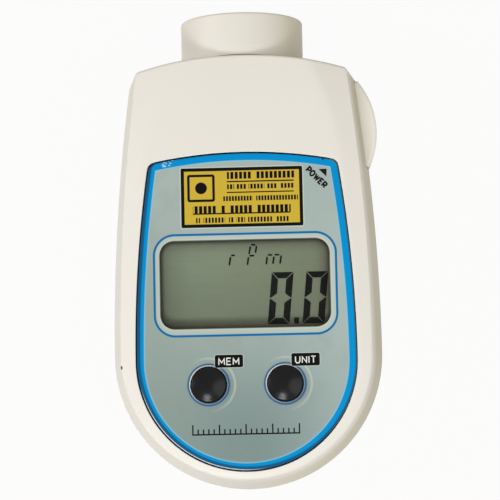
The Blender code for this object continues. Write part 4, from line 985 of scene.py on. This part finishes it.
panelLook = {
    "silver": (165, 180, 177),
    "silverLow": (124, 143, 142),
    "silverRight": (172, 188, 186),
    "silverLeft": (142, 158, 150),
    "specks": (222, 230, 224),
    "clouds": (140, 142, 134),
    "blue": (0, 142, 208),
    # painted shade over the border where the clear edge bends the light
    "edgeShadeBlue": (20, 86, 128),
    "ink": (6, 6, 7),
    "pale": (205, 214, 206),
    "yellow": (206, 178, 62),
    "yellowCloud": (190, 160, 48),
    "innerLine": (128, 196, 226),
    "flakes": (206, 226, 240),
    # painted highlight on the panel's edge at the lower left
    "highlightLine": (224, 232, 236),
    "edgeShadeLine": ((10, 14, 18), (84, 88, 84)),           # painted shade along the panel's edge, at the left and at the right
    "soft": 0.00006,                                    # how soft a printed edge is
    "bandWidth": 0.00205,
    "darkShift": (0.00038, 0.00045),
    "darkWidth": 0.00075,
    "label": (-0.00037, 0.01419, 0.0165, 0.00812),      # centre x and y, half width and half height
    "labelLine": 0.0009,
    "ring": (0.0001, -0.0095, 0.0246, 0.0137),
    "ringCorner": 0.0056,
    "ringLine": 0.0006,
    "tags": [(-0.00475, -0.03012), (0.01587, -0.03006)],
    "tagHalf": (0.0038, 0.0017),
    "rules": [                                          # centre x, centre y, half length, half height
        (0.00472, 0.01845, 0.0091, 0.00018),
        (0.00466, 0.01550, 0.0091, 0.00016),
        (-0.00050, 0.00980, 0.0132, 0.00018),
    ],
    "rows": [                                           # centre y, half height, pitch, dark share, spans of x
        (0.02012, 0.00095, 0.00118, 0.68, [(-0.0043, 0.0022), (0.0034, 0.0139)]),
        (0.01705, 0.00066, 0.00092, 0.66, [(-0.0043, -0.0024), (-0.0018, 0.0008), (0.0015, 0.0058),
                                           (0.0065, 0.0092), (0.0100, 0.0138)]),
        (0.01382, 0.00066, 0.00080, 0.66, [(-0.0054, 0.0026), (0.0035, 0.0148)]),
        (0.01094, 0.00100, 0.00122, 0.70, [(-0.0137, -0.0074), (-0.0063, -0.0050), (-0.0036, 0.0026),
                                           (0.0036, 0.0128)]),
        (0.00803, 0.00070, 0.00088, 0.62, [(-0.0129, -0.0118), (-0.0109, -0.0050), (-0.0040, -0.0026),
                                           (-0.0020, 0.0004), (0.0012, 0.0077), (0.0088, 0.0123)]),
    ],
    "square": (-0.0114, 0.0168, 0.0034, 0.0034),
    "squareLine": 0.00034,
    "disc": 0.0016,
    "scale": {"start": -0.0148, "y": -0.0497, "pitch": 0.00143, "count": 20, "short": 0.0014, "long": 0.0026,
              "line": 0.00038},
    "scuff": (-0.0201, 0.0239, 0.0019, 0.0010, 0.33),   # worn patch: centre, half sizes and slope
    "nicks": [(0.02965, -0.01420, 0.0003), (0.02970, -0.01825, 0.0003), (0.0170, 0.0252, 0.00022),
              (0.0218, 0.0240, 0.00022)],
}


buttonRings = {
    "faint": (0.0071, 0.0003, (206, 214, 200)),         # radius, half width and colour of a painted highlight on the right part of the ring
    "haze": (0.0058, 0.0010, (118, 152, 176)),          # radius, softness and colour
    "blue": (0.00575, 0.0005, (54, 92, 132)),
    "chamfer": 0.00528,
    "chamferColours": ((132, 158, 178), (232, 238, 240)),   # away from the light and toward it
}
displayRing = {
    "outer": (200, 209, 200),
    "line": (10, 108, 168),
    "innerPale": (208, 214, 202),
    "windowEdgeShade": (70, 62, 56),
}
glassLook = {
    "left": (127, 141, 120),
    "right": (118, 126, 105),
    "lowerHalf": (98, 106, 90),
    "foot": (84, 80, 70),
    "grain": (96, 106, 90),
    "weave": (96, 110, 98),
    # edge and rim: painted shade that the window's frame casts on the glass
    "edge": (74, 66, 56),
    "rim": (44, 34, 28),
}


def inside(reach, edge=0.0):
    return reach.finish.under(reach, edge, panelLook["soft"])


def paintSilver(finish):
    # Darker toward the lower end, paler at the lower right and greyer at the lower left, as painted
    # reflection and shade, with fine specks
    x, y = finish.axes[:2]
    look = panelLook
    finish.ground(finish.over(y, -0.030, 0.046), look["silverLow"], look["silver"])
    lower = finish.under(y, 0.004, 0.030)
    finish.paint(finish.over(x, 0.016, 0.030) * lower * 0.6, look["silverRight"])
    finish.paint(finish.under(x, -0.014, 0.026) * lower * 0.6, look["silverLeft"])
    finish.paint((finish.noise(5200.0, 1.0) - 0.5) * 0.22, look["specks"])
    finish.paint((finish.noise(110.0, 3.0, 0.6) - 0.5) * 0.9, look["clouds"])


def paintButtonRings(finish):
    # Round each button a soft blue ring, a pale chamfer with a painted highlight at its upper left, and a
    # painted highlight on the right part of a faint ring further out
    x, y = finish.axes[:2]
    faintRadius, faintHalf, faint = buttonRings["faint"]
    hazeRadius, hazeSoft, haze = buttonRings["haze"]
    blueRadius, blueSoft, blue = buttonRings["blue"]
    shaded, bright = (srgb(*colour) for colour in buttonRings["chamferColours"])
    for placeX, placeY in bothSides(buttons["place"]):
        across, over = x - placeX, y - placeY
        away = finish.span(across, over)
        # Painted highlight on the faint ring, on the right side of each button only
        toRight = finish.over((across * 0.9 + over * 0.4) / away, 0.2, 1.4)
        finish.paint(inside(abs(away - faintRadius), faintHalf) * toRight * 0.4, faint)
        finish.paint(finish.under(away, hazeRadius, hazeSoft) * 0.55, haze)
        finish.paint(finish.under(away, blueRadius, blueSoft), blue)
        # Painted highlight and shade on the chamfer: pale toward the upper left, bluish grey away from it
        lit = finish.over((over * 0.7 - across * 0.7) / away, 0.2, 1.6)
        finish.paint(inside(away, buttonRings["chamfer"]), finish.mix(lit, shaded, bright))


def paintDisplayRing(finish):
    ring = boxReach(finish, panelLook["ring"], panelLook["ringCorner"])
    rim = boxReach(finish, (0.0, display["centreY"], *display["half"]), display["corner"])
    finish.paint(inside(ring, -0.0004) * 0.45, displayRing["outer"])
    finish.paint(finish.under(rim, 0.0006, 0.0005) * 0.3, displayRing["innerPale"])
    # Painted shade along the edge of the display window
    finish.paint(inside(rim, 0.0002) * 0.8, displayRing["windowEdgeShade"])
    finish.paint(inside(abs(ring), panelLook["ringLine"] / 2), displayRing["line"])


def paintLabel(finish):
    # Yellow field with a black frame; gives back the ink of its rules, its rows of plain blocks and its
    # framed square with a disc
    x, y = finish.axes[:2]
    look = panelLook
    label = boxReach(finish, look["label"], 0.0004)
    finish.paint(inside(label, 0.0003) * 0.6, look["pale"])
    finish.paint(inside(label), look["ink"])
    yellow = finish.mix(finish.noise(900.0) * 0.35, srgb(*look["yellow"]), srgb(*look["yellowCloud"]))
    finish.paint(inside(label, -look["labelLine"]), yellow)
    squareX, squareY = look["square"][:2]
    ink = inside(abs(boxReach(finish, look["square"], 0.0003)), look["squareLine"])
    ink = finish.highest(ink, inside(finish.span(x - squareX, y - squareY), look["disc"]))
    for rule in look["rules"]:
        ink = finish.highest(ink, inside(boxReach(finish, rule, 0.00005)))
    for rowY, rowHalf, pitch, share, spans in look["rows"]:
        along = finish.maths("FRACT", x / pitch)
        blocks = inside(abs(along - 0.5) * pitch, pitch * share / 2) * inside(abs(y - rowY), rowHalf)
        for low, high in spans:
            ink = finish.highest(ink, blocks * inside(abs(x - (low + high) / 2), (high - low) / 2))
    return ink


def scaleInk(finish, ink):
    # A plain measuring scale: a base rule with a short line at every step and a long one at every fifth
    x, y = finish.axes[:2]
    scale = panelLook["scale"]
    length, half = scale["pitch"] * scale["count"], scale["line"] / 2
    along = inside(abs(x - (scale["start"] + length / 2)), length / 2 + half)
    ink = finish.highest(ink, inside(abs(y - scale["y"]), half) * along)
    for pitch, height in ((scale["pitch"], scale["short"]), (5 * scale["pitch"], scale["long"])):
        near = abs(finish.maths("FRACT", (x - scale["start"]) / pitch + 0.5) - 0.5) * pitch
        lines = inside(near, half) * inside(abs(y - scale["y"] - height / 2), height / 2)
        ink = finish.highest(ink, lines * along)
    return ink


def paintBorder(finish):
    # Blue, with a painted darker band where the clear edge bends the light, wider at the left and the bottom,
    # a pale inner line, a scuff, a painted shade line at the edge that is greyer at the right, and a painted
    # highlight line beside it at the lower left
    x, y = finish.axes[:2]
    look = panelLook
    reach = shieldReach(finish, x, y)
    # Painted shade: a darker band where the clear edge bends the light, shifted so it is wider at the left
    # and the bottom
    shiftX, shiftY = look["darkShift"]
    deep = shieldReach(finish, x - shiftX, y - shiftY)
    innerLine = finish.under(abs(reach + look["bandWidth"] + 0.0001), 0.00025, 0.0003)
    finish.paint(innerLine * 0.6, look["innerLine"])
    finish.paint(inside(-1.0 * reach, look["bandWidth"]), look["blue"])
    finish.paint(finish.under(-1.0 * deep, look["darkWidth"], 0.0005), look["edgeShadeBlue"])
    scuffX, scuffY, scuffHalfX, scuffHalfY, slope = look["scuff"]
    worn = finish.span((x - scuffX) / scuffHalfX, (y - scuffY - (x - scuffX) * slope) / scuffHalfY)
    flakes = finish.over(finish.noise(1500.0, 1.0), 0.55, 0.06)
    finish.paint(finish.under(worn, 0.9, 0.4) * flakes * 0.85, look["flakes"])
    # Painted highlight along the panel's edge, only at the lower left
    lowerLeft = finish.over(x * -0.55 - (y + 0.03) * 0.83, 0.0235, 0.006)
    finish.paint(inside(abs(reach + 0.00036), 0.0001) * lowerLeft * 0.8, look["highlightLine"])
    # Painted shade along the panel's edge, greyer at the right
    edge = finish.mix(finish.over(x, 0.022, 0.006), *(srgb(*colour) for colour in look["edgeShadeLine"]))
    finish.paint(inside(-1.0 * reach, 0.0002), edge)
    for nickX, nickY, nickRadius in look["nicks"]:
        finish.paint(inside(finish.span(x - nickX, y - nickY), nickRadius), look["ink"])


def printedPanel():
    finish = Finish("printedPanel", Specular_IOR_Level=0.07, Coat_Roughness=0.2)
    paintSilver(finish)
    paintButtonRings(finish)
    paintDisplayRing(finish)
    ink = scaleInk(finish, paintLabel(finish))
    for centre in panelLook["tags"]:
        tag = boxReach(finish, (*centre, *panelLook["tagHalf"]), 0.0005)
        finish.paint(inside(tag, 0.0002) * 0.5, panelLook["pale"])
        ink = finish.highest(ink, inside(tag))
    finish.paint(ink, panelLook["ink"])
    paintBorder(finish)
    coat = 0.01 + finish.noise(40.0, 1.0) * 0.03
    return finish.feed(Roughness=finish.uneven(0.34, 0.1, 70.0), Coat_Weight=coat,
                       Normal=finish.bump(finish.noise(3000.0), 0.05))


def blackPlastic(name, specular, colours, roughness, bump):
    # colours: scale and detail of the clouds, then two colours; roughness: level, swing, scale and detail
    finish = Finish(name, Specular_IOR_Level=specular)
    scale, below, above = colours
    grain, strength = bump
    finish.ground(finish.noise(scale, 3.0), below, above)
    return finish.feed(Roughness=finish.uneven(*roughness), Normal=finish.bump(finish.noise(grain), strength))


def displayGlass():
    # Grey-green reflector behind the glass, darker toward the bottom, with painted shade of the window's
    # frame that is browner toward its edges and darkest along them
    finish = Finish("displayGlass", Specular_IOR_Level=0.12)
    look = glassLook
    x, y = finish.axes[:2]
    middle = display["centreY"]
    edge = boxReach(finish, (0.0, middle, *display["half"]), display["corner"])
    fine = finish.noise(2600.0)
    finish.ground(finish.over(x, 0.004, 0.045), look["left"], look["right"])
    finish.paint(finish.under(y, middle, 0.016) * 0.45, look["lowerHalf"])
    finish.paint(finish.under(y, middle - 0.0098, 0.0045) * 0.5, look["foot"])
    finish.paint(fine * 0.25, look["grain"])
    weave = finish.noise(900.0, 1.0, 0.5, finish.stretched((0.15, 1.0, 1.0)))
    finish.paint((weave - 0.45) * 0.5, look["weave"])
    # Painted shade from the window's frame, browner toward the edges and darkest along them
    finish.paint(finish.over(edge, -0.0016, 0.0044) * 0.4, look["edge"])
    finish.paint(finish.over(edge, -0.0004, 0.0016) * 0.8, look["rim"])
    return finish.feed(Roughness=0.42 + fine * 0.1)


def clearPane(name, tint, opacity, haze):
    finish = Finish(name, Roughness=0.06, Specular_IOR_Level=0.5)
    finish.ground(finish.noise(60.0), tint, (240, 246, 242))
    return finish.feed(Alpha=opacity + finish.noise(90.0) * haze)


def inkPrint(name, colour, worn, shine):
    finish = Finish(name, Specular_IOR_Level=shine)
    finish.ground(finish.noise(1500.0) * 0.5, colour, worn)
    return finish.feed(Roughness=0.45 + finish.noise(800.0) * 0.1)


def platedSteel():
    finish = Finish("platedSteel", Metallic=1.0)
    streaks = finish.noise(900.0, 3.0, 0.6, finish.stretched((1.0, 1.0, 0.15)))
    finish.ground(streaks, (205, 204, 200), (168, 168, 170))
    return finish.feed(Roughness=0.26 + streaks * 0.2, Normal=finish.bump(finish.noise(1800.0), 0.1))


def turnedBrass():
    finish = Finish("turnedBrass", Metallic=1.0)
    rings = finish.noise(1400.0, 2.0, 0.5, finish.stretched((0.1, 1.0, 0.1)))
    finish.ground(rings, (214, 178, 104), (170, 132, 66))
    return finish.feed(Roughness=0.22 + rings * 0.2, Normal=finish.bump(rings, 0.15))


def solderMask():
    finish = Finish("solderMask", Specular_IOR_Level=0.5)
    x, y = finish.axes[:2]
    tracks = finish.over(abs(finish.maths("SINE", (x + y) * 2600.0)), 0.93, 0.05)
    areas = finish.over(finish.noise(90.0, 0.0), 0.5, 0.03)
    finish.ground(tracks * areas, (14, 92, 48), (36, 128, 70))
    cells = finish.node("ShaderNodeTexVoronoi", {}, {"Vector": finish.place, "Scale": 420.0}, "Distance")
    pads = finish.under(cells, 0.22, 0.04)
    finish.paint(pads * (1.0 - areas), (196, 190, 160))
    return finish.feed(Roughness=0.34 + pads * 0.1, Normal=finish.bump(tracks, 0.2))


def rubberBlock():
    finish = Finish("rubberBlock")
    layers = finish.over(finish.maths("SINE", finish.axes[0] * 12000.0), 0.0, 0.6)
    finish.ground(layers, (58, 58, 62), (196, 150, 148))
    return finish.feed(Roughness=0.72 + finish.noise(900.0) * 0.1)


def cellWrap():
    finish = Finish("cellWrap", Coat_Weight=0.3, Coat_Roughness=0.1)
    away = abs(finish.axes[1] - sum(backForm["bay"]) / 2)
    finish.ground(finish.over(away, 0.013, 0.0003), (40, 56, 96), (176, 178, 182))
    finish.paint(finish.over(away, 0.0262, 0.0002), (150, 150, 152))
    return finish.feed(Roughness=0.3 + finish.noise(500.0) * 0.15,
                       Normal=finish.bump(finish.noise(300.0), 0.08, 0.0002))


white = (1.0, 1.0, 1.0, 1.0)


def floorPaper():
    # For the camera, and for gloss and glass, mostly plain white, so that the object's shadow stays faint
    finish = Finish("floorPaper", Roughness=0.9)
    finish.tone = finish.mix(finish.noise(30.0) * 0.5, *studio["floorColours"])
    finish.feed()
    glow = finish.node("ShaderNodeEmission", {}, {"Color": white, "Strength": 1.0})
    finish.surface("Material Output", finish.seenRays() * studio["floorGlow"],
                   Wire(finish, finish.shader.outputs[0]), glow)
    return finish.material


def addFloor():
    # A flat disc under the case
    radius, depth = 3.0, 0.001
    profile = [(0.0, 0.0), (radius, 0.0), (radius, -depth), (0.0, -depth)]
    floor = turned("floor", profile, 96)
    floor.data.materials.append(floorPaper())


def addWorld():
    # The lamps' fill; rays from the camera, gloss and glass see plain white
    world = bpy.data.worlds.new("studio")
    world.use_nodes = True
    wiring = Wiring(world.node_tree)
    fill = {"Color": (*studio["worldColour"], 1.0), "Strength": studio["worldStrength"]}
    wiring.surface("World Output", wiring.seenRays(), wiring.node("ShaderNodeBackground", {}, fill),
                   wiring.node("ShaderNodeBackground", {}, {"Color": white, "Strength": 1.0}))
    bpy.context.scene.world = world


# Display figures: thin prisms on the display glass

figures = {
    "z": (0.0329, 0.03298),
    "digits": [(0.00585, -0.02033), (0.01525, -0.02030)],   # lower left corners
    "digitSize": (0.00590, 0.01408),
    "slant": 0.100,
    "thick": 0.00182,
    "inner": 0.72 * 0.00182,       # from the middle to the side bars' inner corners
    "gap": 0.00016,
    "tip": 0.0003,
    "point": (0.01366, -0.01945, 0.00064, 0.00085),
    "strokes": [                                     # small letters, start and end of each stroke
        (-0.00428, -0.00415, -0.00385, -0.00168), (-0.00378, -0.00134, -0.00258, -0.00140),
        (0.00067, -0.00418, 0.00100, -0.00190), (0.00114, -0.00122, 0.00158, 0.00102),
        (0.00172, 0.00146, 0.00306, 0.00132), (0.00118, -0.00160, 0.00264, -0.00154),
        (0.00290, -0.00090, 0.00327, 0.00114), (0.00578, -0.00408, 0.00610, -0.00190),
        (0.00622, -0.00142, 0.00752, -0.00152), (0.00758, -0.00400, 0.00794, -0.00185),
        (0.00806, -0.00146, 0.00945, -0.00148), (0.00954, -0.00402, 0.00991, -0.00160)],
    "strokeHalf": 0.00023,
}


def manyPrisms(name, outlines, low, high):
    # outlines has a shape (pieces, corners, 2); every one is carried from low to high and capped
    count, corners = outlines.shape[:2]
    flat = outlines.reshape(-1, 2)
    points = np.vstack([atHeight(flat, low), atHeight(flat, high)])
    index = np.arange(count * corners).reshape(count, corners)
    upper = index + count * corners
    sides = np.stack([index, np.roll(index, -1, axis=1), np.roll(upper, -1, axis=1), upper], axis=-1)
    faces = sides.reshape(-1, 4).tolist() + index[:, ::-1].tolist() + upper.tolist()
    mesh = bpy.data.meshes.new(name)
    mesh.from_pydata(points.tolist(), [], faces)
    return tidied(name, mesh)


def zeroOutlines(corner):
    # Six mitred bars of a zero: the top bar and the upper left side, mirrored down and then across, and all
    # sheared by the slant. A point that repeats brings each bar to six
    width, height = figures["digitSize"]
    thick, gap, tip, inner = (figures[word] for word in ("thick", "gap", "tip", "inner"))
    middle, under = height / 2, height - thick + gap
    top = [(gap, height), (width - gap, height), (width - thick, under), (thick, under), (thick, under),
           (gap, height)]
    side = [(0, middle + gap), (tip, middle + gap), (thick, middle + inner), (thick, height - thick - gap),
            (0, height - gap), (0, middle + gap)]
    upper = np.array([top, side])
    left = np.concatenate([upper, upper * (1, -1) + (0, height)])
    bars = np.concatenate([left, left[1::2] * (-1, 1) + (width, 0)])
    bars[..., 0] += figures["slant"] * bars[..., 1]
    return bars + np.array(corner)


def makeFigures(material):
    # Two zeros, the point, and the small letters as bars with pointed ends round each stroke
    zeros = np.concatenate([zeroOutlines(corner) for corner in figures["digits"]])
    pointX, pointY, halfX, halfY = figures["point"]
    corners = np.array([(-halfX, -halfY), (halfX, -halfY), (halfX, halfY), (-halfX, halfY)])
    strokes = np.array(figures["strokes"])
    start, end = strokes[:, :2], strokes[:, 2:]
    tip = unitRows(end - start) * figures["strokeHalf"]
    across = np.stack([-tip[:, 1], tip[:, 0]], axis=-1)
    bars = np.stack([start, start + tip - across, end - tip - across, end, end - tip + across,
                     start + tip + across], axis=1)
    shapes = (("zeros", zeros), ("point", (corners + (pointX, pointY))[None]), ("letters", bars))
    pieces = [manyPrisms(name, outlines, *figures["z"]) for name, outlines in shapes]
    finishPiece(merged("displayFigures", pieces), material, "housing")


# Words on the panel, as thin raised ink. Each letter has its width and the lines it is drawn with, on a
# cell from 0 to 1

bowl = [(0, 0), (0, 1), (0.72, 1), (1, 0.84), (1, 0.6), (0.72, 0.45), (0, 0.45)]
letters = {
    "E": (0.72, [[(1, 1), (0, 1), (0, 0), (1, 0)], [(0, 0.52), (0.86, 0.52)]]),
    "I": (0.0, [[(0, 0), (0, 1)]]),
    "M": (1.0, [[(0, 0), (0, 1), (0.5, 0.3), (1, 1), (1, 0)]]),
    "N": (0.82, [[(0, 0), (0, 1), (1, 0), (1, 1)]]),
    "O": (0.92, [[(0.3, 0), (0.7, 0), (1, 0.3), (1, 0.7), (0.7, 1), (0.3, 1), (0, 0.7), (0, 0.3), (0.3, 0)]]),
    "P": (0.74, [bowl]),
    "R": (0.78, [bowl, [(0.5, 0.45), (1, 0)]]),
    "T": (0.8, [[(0, 1), (1, 1)], [(0.5, 1), (0.5, 0)]]),
    "U": (0.8, [[(0, 1), (0, 0.25), (0.27, 0), (0.73, 0), (1, 0.25), (1, 1)]]),
    "W": (1.25, [[(0, 1), (0.26, 0), (0.5, 0.82), (0.74, 0), (1, 1)]]),
}
wordLook = {"low": 0.03618, "high": 0.03623, "gap": 0.42, "mitre": 1.5}
words = [
    {"name": "memoryWord", "text": "MEM", "centre": (-0.00478, -0.03020), "height": 0.00172, "width": 0.0054,
     "turn": 0.0, "ink": "white", "line": 0.00030},
    {"name": "unitWord", "text": "UNIT", "centre": (0.01586, -0.03013), "height": 0.00172, "width": 0.0054,
     "turn": 0.0, "ink": "white", "line": 0.00030},
    {"name": "powerWord", "text": "POWER", "centre": (0.01998, 0.01908), "height": 0.00146, "width": 0.0067,
     "turn": -45.5, "ink": "black", "line": 0.00047},
]


def ribbon(points, half):
    # A line with width: each corner moves along the mitre m = (a + b) / ((a + b) . a) of the normals a and b,
    # cut short on the outside of a sharp turn
    along = unitRows(np.diff(points, axis=0))
    normals = np.column_stack([-along[:, 1], along[:, 0]])
    before = np.vstack([normals[:1], normals])
    after = np.vstack([normals, normals[-1:]])
    mitre = (before + after) / np.sum((before + after) * before, axis=1)[:, None]
    length = np.linalg.norm(mitre, axis=1)[:, None]
    blunt = mitre * np.minimum(length, wordLook["mitre"]) / length
    leftTurn = (before[:, :1] * after[:, 1:] - before[:, 1:] * after[:, :1]) > 0
    left = points + half * np.where(leftTurn, mitre, blunt)
    right = points - half * np.where(leftTurn, blunt, mitre)
    return np.vstack([left, right[::-1]])


def makeWord(word, material):
    # The letters side by side on a base line, then fitted to the width and height, turned about Z and placed
    lines, pen = [], 0.0
    for letter in word["text"]:
        wide, strokes = letters[letter]
        lines += [np.array(stroke, float) * (wide, 1.0) + (pen, 0.0) for stroke in strokes]
        pen += wide + wordLook["gap"]
    scale = np.array([word["width"] / (pen - wordLook["gap"]), word["height"]])
    turn = math.radians(word["turn"])
    axes = np.array([(math.cos(turn), math.sin(turn)), (-math.sin(turn), math.cos(turn))])
    pieces = []
    for line in lines:
        flat = ribbon(line * scale - (word["width"] / 2, word["height"] / 2), word["line"] / 2)
        pieces.append(prism("stroke", flat @ axes + word["centre"], wordLook["low"], wordLook["high"]))
    finishPiece(merged(word["name"], pieces), material, "housing")


arrowMark = [(0.02058, 0.02130), (0.02275, 0.02132), (0.02262, 0.01924)]


def makeArrowMark(material):
    piece = prism("powerArrow", np.array(arrowMark), wordLook["low"], wordLook["high"])
    finishPiece(piece, material, "housing")


# Build

addCamera()
for lampLook in studio["lamps"]:
    addLamp(*lampLook)
addWorld()
addFloor()
print("camera, lamps and floor set")

cream = creamPlastic("creamPlastic", *plasticLook["case"])
makeFrontShell(cream)
makeRearShell(cream)
makeBatteryDoor(cream)
makeBarrel(cream)
# The key's lighter cream is painted light
makePowerKey(creamPlastic("creamKeyLit", *plasticLook["key"]))
gloss = blackPlastic("blackGloss", 0.16, (300.0, (6, 6, 7), (20, 17, 18)), (0.23, 0.12, 900.0, 3.0),
                     (2400.0, 0.10))
leftPlace, rightPlace = bothSides(buttons["place"])
makeButton("leftButton", leftPlace, gloss, "mem_button", "mem_button")
makeButton("rightButton", rightPlace, gloss, "unit_button", "unit_button")
makePanel(printedPanel())
makeFigures(inkPrint("displayInk", (5, 6, 4), (12, 13, 11), 0.05))
inks = {"white": inkPrint("whiteInk", (236, 238, 234), (206, 210, 206), 0.2),
        "black": inkPrint("blackInk", (6, 6, 7), (22, 22, 24), 0.1)}
for word in words:
    makeWord(word, inks[word["ink"]])
makeArrowMark(inks["black"])

steel, board, cell, rubber = platedSteel(), solderMask(), cellWrap(), rubberBlock()
satin = blackPlastic("blackSatin", 0.4, (120.0, (24, 24, 26), (40, 39, 40)), (0.5, 0.15, 400.0),
                     (2600.0, 0.15))
nodeFinishes = {
    "display_window": clearPane("windowPane", (206, 218, 206), 0.001, 0.006),
    "nose_window": clearPane("lensPane", (190, 210, 214), 0.22, 0.02),
    "collecting_lens": clearPane("lensGlass", (214, 226, 232), 0.32, 0.02),
    "lcd_glass": displayGlass(),
    "lcd_frame": satin, "mem_switch": satin, "unit_switch": satin, "power_switch": satin,
    "processor": satin, "lens_carrier": satin,
    "connector_strip_upper": rubber, "connector_strip_lower": rubber,
    "laser_module": turnedBrass(),
    "sensor_board": board, "main_board": board,
    "photodiode": steel, "quartz_crystal": steel,
    "battery_left": cell, "battery_right": cell,
}
for name, node in cadNodes.items():
    if name in nodeFinishes or name.startswith(("case_screw", "board_screw", "contact", "battery_spring")):
        node.data.materials.clear()
        node.data.materials.append(nodeFinishes.get(name, steel))
print("finishes on the frame's own nodes set")

bpy.context.scene.view_settings.view_transform = "Standard"
